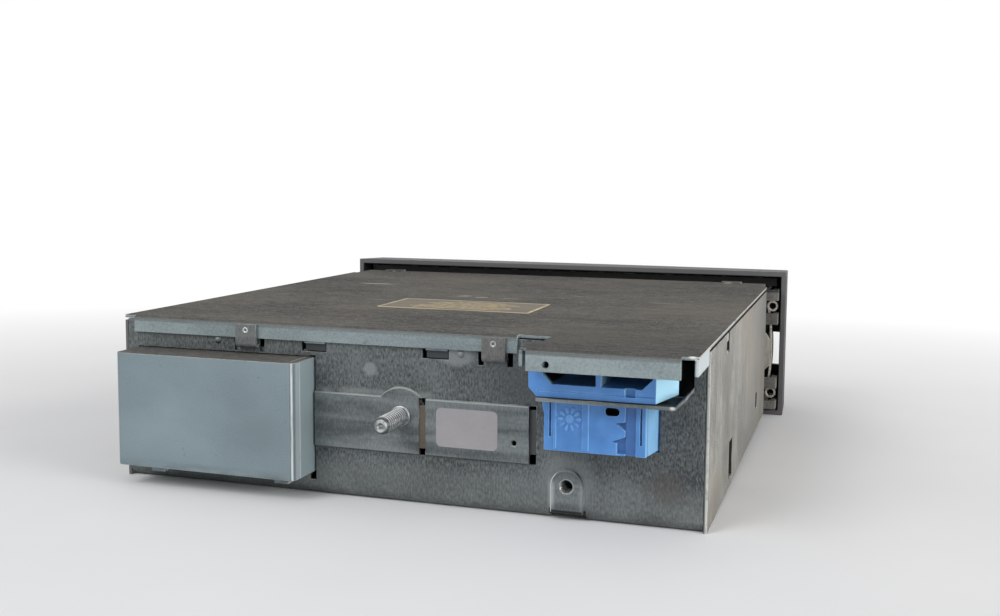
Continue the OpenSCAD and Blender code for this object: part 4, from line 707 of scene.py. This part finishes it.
def pressed_edge(e):
    """The upper and lower edges of the pressed band and the outline of the ground boss."""
    if len(e.link_faces) != 2 or e.calc_face_angle(0) < math.radians(SHARP_DEG):
        return False
    ys = [v.co.y / MM - ROW_Y for v in e.verts]
    walls = [f for f in e.link_faces if abs(f.normal.y) < 0.1]
    if not walls:
        return False
    if all(abs(y - BAND_RISE) < 0.01 for y in ys):
        return abs(walls[0].normal.z) > 0.12
    place = e.verts[0].co / MM
    reach = math.hypot(place.x - GROUND[0], place.z - ROW_Z - GROUND[1])
    return all(abs(y - BOSS_RISE) < 0.01 for y in ys) and reach > 3


# Width of the rounded edges of each node, in millimetres
EDGE_MM = {
    "bottom_pan": 0.12, "left_side_wall": 0.14, "right_side_wall": 0.14, "top_cover": 0.14, "amp_box": 0.18,
    "connector_block": 0.12, "panel_back": 0.2, "front_bezel": 0.3, "volume_knob": 0.2, "seek_rocker": 0.35,
    "display_window": 0.2, "slot_flap": 0.15, "left_latch_spring": 0.1, "right_latch_spring": 0.1,
}
PRESETS = ["preset_button_%d" % i for i in range(1, 7)]
KEYS = PRESETS + ["eject_button", "source_button"]
KEY_EDGE_MM = 0.35
for name, width in EDGE_MM.items():
    refined(name, width, soft=pressed_edge if name == "bottom_pan" else None)
for name in KEYS:
    refined(name, KEY_EDGE_MM, front=True)


def turned(bm, centre, rings, sides, radius, close=True):
    """A lathe along Y: rings are Y values, and radius(ring, angle) gives the surface in millimetres."""
    loops = []
    for i, y in enumerate(rings):
        loop = []
        for k in range(sides):
            a = 2 * math.pi * k / sides
            r = radius(i, a)
            loop.append(bm.verts.new(at(centre[0] + r * math.cos(a), y, centre[1] + r * math.sin(a))))
        loops.append(loop)
    pairs = list(zip(loops, loops[1:]))
    if close:
        pairs.append((loops[-1], loops[0]))
    for low, high in pairs:
        for k in range(sides):
            n = (k + 1) % sides
            bm.faces.new((low[k], low[n], high[n], high[k]))
    return loops


def threaded_stud():
    """The locating stud: a thread, a collar, a cut tip with a centre dimple and a head inside the wall."""
    tip = edge_of("locating_stud", 1, True)
    back = edge_of("locating_stud", 1, False)
    start, full = 1.7, tip - 1.2
    sharpness, tip_slope, sides = 1.4, 0.75, 48
    steps = int((tip - start) / (STUD_PITCH / 8))
    rows = [start + (tip - start) * i / steps for i in range(steps + 1)]
    head = [(back, 0.05), (back, 6.6), (back + 0.5, 7.1), (back + 1.5, 7.1), (back + 1.5, STUD_R),
            (0.86, STUD_R), (0.86, 2.8), (1.0, 3.0), (1.5, 3.0), (start, 2.8)]
    end = [(tip, 1.0), (tip - 0.9, 0.3), (tip - 0.95, 0.05)]
    rings = [y for y, r in head] + rows + [y for y, r in end]

    def radius(i, a):
        if i < len(head):
            return head[i][1]
        if i >= len(head) + len(rows):
            return end[i - len(head) - len(rows)][1]
        y = rings[i]
        turn = (y / STUD_PITCH - a / (2 * math.pi)) % 1
        thread = STUD_R - STUD_DEPTH * abs(2 * turn - 1) ** sharpness
        cut = STUD_R - max(0, y - full) * tip_slope
        return min(thread, cut)

    bm = bmesh.new()
    turned(bm, STUD, rings, sides, radius)
    obj = piece("locating_stud_thread", bm, "locating_stud", "stud_steel")
    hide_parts("locating_stud")


def ground_thread():
    """The cut thread inside the ground screw hole."""
    front, back, outer, pitch = -3.9, 1.3, 2.08, 0.8
    wall, depth = 0.08, 0.3
    steps, sides = 40, 40
    inner = [front + (back - front) * i / steps for i in range(steps + 1)]
    rings = inner + [back, front]

    def radius(i, a):
        if i > steps:
            return outer
        turn = (rings[i] / pitch - a / (2 * math.pi)) % 1
        return outer - wall - depth * abs(2 * turn - 1)

    bm = bmesh.new()
    turned(bm, GROUND, rings, sides, radius)
    piece("ground_hole_thread", bm, "bottom_pan", "bright_zinc")


threaded_stud()
ground_thread()


def slab(bm, outline, y0, y1, bevel=0.0):
    """A plate drawn as (X, Z) points of the case frame between two Y values, with soft front edges."""
    near = [bm.verts.new(at(x, y1, z)) for x, z in outline]
    far = [bm.verts.new(at(x, y0, z)) for x, z in outline]
    count = len(outline)
    top = bm.faces.new(near)
    bm.faces.new(list(reversed(far)))
    for k in range(count):
        n = (k + 1) % count
        bm.faces.new((near[n], near[k], far[k], far[n]))
    if bevel:
        bmesh.ops.bevel(bm, geom=list(top.edges), offset=bevel * MM, offset_type="OFFSET", segments=2,
                        profile=0.5, affect="EDGES", clamp_overlap=True)


def arc(x, z, r, start, end, count):
    """Points of a circle from one angle to another, in degrees."""
    angles = [math.radians(start + (end - start) * i / count) for i in range(count + 1)]
    return [(x + r * math.cos(a), z + r * math.sin(a)) for a in angles]


# Petals of the rosette: their number, and half widths at some distances from the middle
PETALS = 10
PETAL_SHAPE = ((1.5, 0.12), (2.1, 0.42), (2.9, 0.5), (3.3, 0.2))


def mould_rosette():
    """The raised ring of petals that the mould leaves on the plug block's lower face."""
    bm = bmesh.new()
    x, z = ROSETTE
    for k in range(PETALS):
        a = 2 * math.pi * k / PETALS
        along = Vector((math.cos(a), math.sin(a)))
        across = Vector((-along.y, along.x))
        outline = []
        for reach, half in PETAL_SHAPE:
            outline.append((x + along.x * reach + across.x * half, z + along.y * reach + across.y * half))
        for reach, half in reversed(PETAL_SHAPE):
            outline.append((x + along.x * reach - across.x * half, z + along.y * reach - across.y * half))
        slab(bm, outline, PLUG_FACE - 0.1, PLUG_FACE + 0.3, 0.1)
    ring = arc(x, z, 1.15, 0, 350, 35)
    slab(bm, ring, PLUG_FACE - 0.1, PLUG_FACE + 0.2, 0.08)
    piece("mould_rosette", bm, "connector_block", "blue_relief")


# Profile of a clip's dimple: Y and radius
DIMPLE = ((2.0, 0.9), (2.28, 0.9), (2.36, 0.7), (2.3, 0.5), (2.12, 0.3), (2.1, 0.02), (2.0, 0.02))
DIMPLE_SIDES = 28


def clip_dimples():
    """The staked dimple with its raised rim in the middle of each cover clip."""
    for side, x in CLIP_XS.items():
        bm = bmesh.new()
        turned(bm, (x, CLIP_Z), [y for y, r in DIMPLE], DIMPLE_SIDES, lambda i, a: DIMPLE[i][1])
        piece("clip_dimple_" + side, bm, "bottom_pan", "bright_zinc")


mould_rosette()
clip_dimples()


# Marks on the front
INK_MM = 0.06
NUMBER_MM = 3.6
FONT_SCALE = 1.4


def ink(name, outlines, node, front, finish="white_ink", depth=INK_MM):
    """Printed marks on a front face: outlines are (X, Z) points, and front is the face's Y."""
    bm = bmesh.new()
    for outline in outlines:
        slab(bm, outline, front - depth, front + depth)
    return piece(name, bm, node, finish)


def number(text, node, height):
    """A printed number in the middle of a key's front."""
    curve = bpy.data.curves.new("number_" + text, "FONT")
    curve.body = text
    curve.size = height * MM * FONT_SCALE
    curve.extrude = INK_MM * MM
    curve.align_x = "CENTER"
    curve.align_y = "CENTER"
    curve.materials.append(MATERIALS["white_ink"])
    lo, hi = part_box(node)
    obj = bpy.data.objects.new("number_" + text, curve)
    spot = Matrix.Translation(((lo.x + hi.x) / 2, lo.y, (lo.z + hi.z) / 2))
    obj.matrix_world = spot @ Matrix.Rotation(math.pi / 2, 4, "X")
    bpy.context.scene.collection.objects.link(obj)
    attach(obj, BODY_OF[node])


for i, name in enumerate(PRESETS, 1):
    number(str(i), name, NUMBER_MM)


def middle(node):
    """The middle of a node's box, in the case frame, in millimetres."""
    return [(edge_of(node, axis, False) + edge_of(node, axis, True)) / 2 for axis in range(3)]


def triangle(x, z, size, way):
    """A triangle that points along X, one way or the other."""
    return [(x - way * size, z + size), (x + way * size, z), (x - way * size, z - size)]


def oblong(x0, z0, x1, z1):
    """A rectangle between two corners."""
    return [(x0, z0), (x1, z0), (x1, z1), (x0, z1)]


def front_marks():
    """The signs on the eject key, the source key and the seek rocker."""
    x, _, z = middle("eject_button")
    front = edge_of("eject_button", 1, False)
    arrow = [(x - 2, z - 0.3), (x + 2, z - 0.3), (x, z + 1.9)]
    ink("eject_mark", [arrow, oblong(x - 2, z - 1.6, x + 2, z - 0.9)], "eject_button", front)
    x, _, z = middle("source_button")
    front = edge_of("source_button", 1, False)
    lines = [oblong(x - 2.2, z + d - 0.25, x + 2.2, z + d + 0.25) for d in (-1.4, 0, 1.4)]
    ink("source_mark", lines, "source_button", front)
    x, _, z = middle("seek_rocker")
    front = edge_of("seek_rocker", 1, False)
    arrows = [triangle(x + side * 9 + d, z, 1.3, side) for side in (-1, 1) for d in (-1.2, 1.2)]
    ink("seek_marks", arrows, "seek_rocker", front)


# Ends of the seven bars of a figure, as X and Z in widths and half heights
SEGMENTS = (
    (0, 1, 1, 1), (1, 1, 1, 0), (1, 0, 1, -1), (0, -1, 1, -1), (0, 0, 0, -1), (0, 1, 0, 0), (0, 0, 1, 0),
)
SEGMENT_TRIM = 0.35
SEGMENT_HALF = 0.3
FIGURES = 8
FIGURE_START = -34
FIGURE_PITCH = 8.4
FIGURE_WIDE = 5
FIGURE_HALF = 4.6
# The falling row of level bars at the right of the figures
LEVELS = 6
LEVEL_START = 36
LEVEL_PITCH = 1.6
LEVEL_WIDE = 1
LEVEL_FOOT = -4.4
LEVEL_TOP = 3


def segment(x, z, wide, tall, ends):
    """A bar of a seven-segment figure between two of its corners."""
    x0, x1 = x + ends[0] * wide, x + ends[2] * wide
    z0, z1 = z + ends[1] * tall, z + ends[3] * tall
    trim, half = SEGMENT_TRIM, SEGMENT_HALF
    if z0 == z1:
        left, right = x0 + trim, x1 - trim
        return [(left, z0), (left + half, z0 + half), (right - half, z0 + half), (right, z0),
                (right - half, z0 - half), (left + half, z0 - half)]
    low, high = min(z0, z1) + trim, max(z0, z1) - trim
    return [(x0, low), (x0 - half, low + half), (x0 - half, high - half), (x0, high),
            (x0 + half, high - half), (x0 + half, low + half)]


def display_figures():
    """The faint figures of the display at rest."""
    x, _, z = middle("display_module")
    front = edge_of("display_module", 1, False)
    outlines = []
    for i in range(FIGURES):
        left = x + FIGURE_START + i * FIGURE_PITCH
        outlines += [segment(left, z, FIGURE_WIDE, FIGURE_HALF, ends) for ends in SEGMENTS]
    for i in range(LEVELS):
        left = x + LEVEL_START - i * LEVEL_PITCH
        outlines.append(oblong(left, z + LEVEL_FOOT, left + LEVEL_WIDE, z + LEVEL_TOP - i))
    ink("display_figures", outlines, "display_module", front, "lcd_ink")


front_marks()
display_figures()


# Stage. The floor, in millimetres of the row frame: its half side, its slope, the Y where it crosses height 0,
# how far it is sunk to clear the part, and between which distances it fades to white
FLOOR_HALF = 1500
FLOOR_SLOPE = 0.025418
FLOOR_LEVEL_Y = -81.52
FLOOR_SINK = 0.05
FLOOR_FADE = (180, 620)
# Strength of the world as light and as the background that is seen
WORLD_FILL = 0.5
WORLD_SEEN = 1.0
# Lamps, in metres of the row frame: place, size, power and colour; and the point they look at
LAMPS = {
    "key": ((0.45, 0.85, 0.8), 0.6, 6, (0.97, 0.99, 1.0)),
    "side": ((-1.1, 0.35, 0.35), 0.7, 9, (1.0, 0.99, 0.97)),
}
LAMP_TARGET = (0, 0, 0.03)


def background_rays(tree):
    """1 for the rays of the camera, of gloss and of glass, which show the pale background."""
    path = tree.nodes.new("ShaderNodeLightPath")
    result = path.outputs["Is Camera Ray"]
    for name in ("Is Glossy Ray", "Is Transmission Ray"):
        either = tree.nodes.new("ShaderNodeMath")
        either.operation = "MAXIMUM"
        tree.links.new(result, either.inputs[0])
        tree.links.new(path.outputs[name], either.inputs[1])
        result = either.outputs[0]
    return result


def floor():
    """A pale floor that touches the front moulding's lower edge and the bend at the back."""
    bm = bmesh.new()
    for x, y in ((-1, -1), (1, -1), (1, 1), (-1, 1)):
        rise = FLOOR_SLOPE * (y * FLOOR_HALF - FLOOR_LEVEL_Y) - FLOOR_SINK
        bm.verts.new(Vector((x * FLOOR_HALF, y * FLOOR_HALF, rise)) * MM)
    bm.faces.new(bm.verts)
    mesh = bpy.data.meshes.new("floor")
    bm.to_mesh(mesh)
    bm.free()
    s = Shader("floor", roughness=0.9)
    s.set("Base Color", s.mix(s.noise(60, 3), (226, 226, 227), (234, 234, 235)))
    away = s.node("ShaderNodeVectorMath", {0: s.place}, operation="LENGTH").outputs["Value"]
    seen = background_rays(s.tree)
    glow = s.node("ShaderNodeEmission", {"Color": (255, 255, 255), "Strength": 1.0})
    blend = s.node("ShaderNodeMixShader", {
        0: s.both(s.range(away, *FLOOR_FADE), seen), 1: s.surface.outputs[0], 2: glow.outputs[0],
    })
    s.feed(s.tree.nodes["Material Output"].inputs["Surface"], blend.outputs[0])
    mesh.materials.append(s.material)
    obj = bpy.data.objects.new("floor", mesh)
    bpy.context.scene.collection.objects.link(obj)


def studio():
    """White where the camera and shiny things look, and a soft grey light on the rest."""
    world = bpy.data.worlds.new("studio")
    world.use_nodes = True
    tree = world.node_tree
    back = tree.nodes["Background"]
    level = tree.nodes.new("ShaderNodeMapRange")
    level.inputs["To Min"].default_value = WORLD_FILL
    level.inputs["To Max"].default_value = WORLD_SEEN
    tree.links.new(background_rays(tree), level.inputs["Value"])
    tree.links.new(level.outputs[0], back.inputs["Strength"])
    back.inputs["Color"].default_value = (1, 1, 1, 1)
    bpy.context.scene.world = world


def lamp(name, spot, size, power, colour):
    """A soft square lamp that looks at the middle of the part."""
    light = bpy.data.lights.new(name, "AREA")
    light.size = size
    light.energy = power
    light.color = colour
    obj = bpy.data.objects.new(name, light)
    obj.location = spot
    obj.rotation_euler = (Vector(LAMP_TARGET) - Vector(spot)).to_track_quat("-Z", "Y").to_euler()
    bpy.context.scene.collection.objects.link(obj)


# The camera fitted to the photograph: its place in the case frame, its axes, and its lens
CAMERA_AT = (-126.91, 290.87, 93.44)
CAMERA_RIGHT = (-0.95011, -0.31186, 0.00672)
CAMERA_UP = (0.03562, -0.08709, 0.99556)
CAMERA_AHEAD = (0.30989, -0.94613, -0.09385)
SENSOR_MM = 36
LENS_MM = 40.717
SHIFT_Y = -0.0273
CLIP_START = 0.01


def camera():
    """The camera at the photograph's view."""
    data = bpy.data.cameras.new("camera")
    data.sensor_fit = "HORIZONTAL"
    data.sensor_width = SENSOR_MM
    data.lens = LENS_MM
    data.shift_y = SHIFT_Y
    data.clip_start = CLIP_START
    obj = bpy.data.objects.new("camera", data)
    axes = Matrix((CAMERA_RIGHT, CAMERA_UP, [-c for c in CAMERA_AHEAD])).transposed()
    obj.matrix_world = Matrix.Translation(at(*CAMERA_AT)) @ axes.to_4x4()
    bpy.context.scene.collection.objects.link(obj)
    bpy.context.scene.camera = obj


floor()
studio()
for name, (spot, size, power, colour) in LAMPS.items():
    lamp(name, spot, size, power, colour)
camera()
bpy.context.scene.view_settings.view_transform = "Standard"
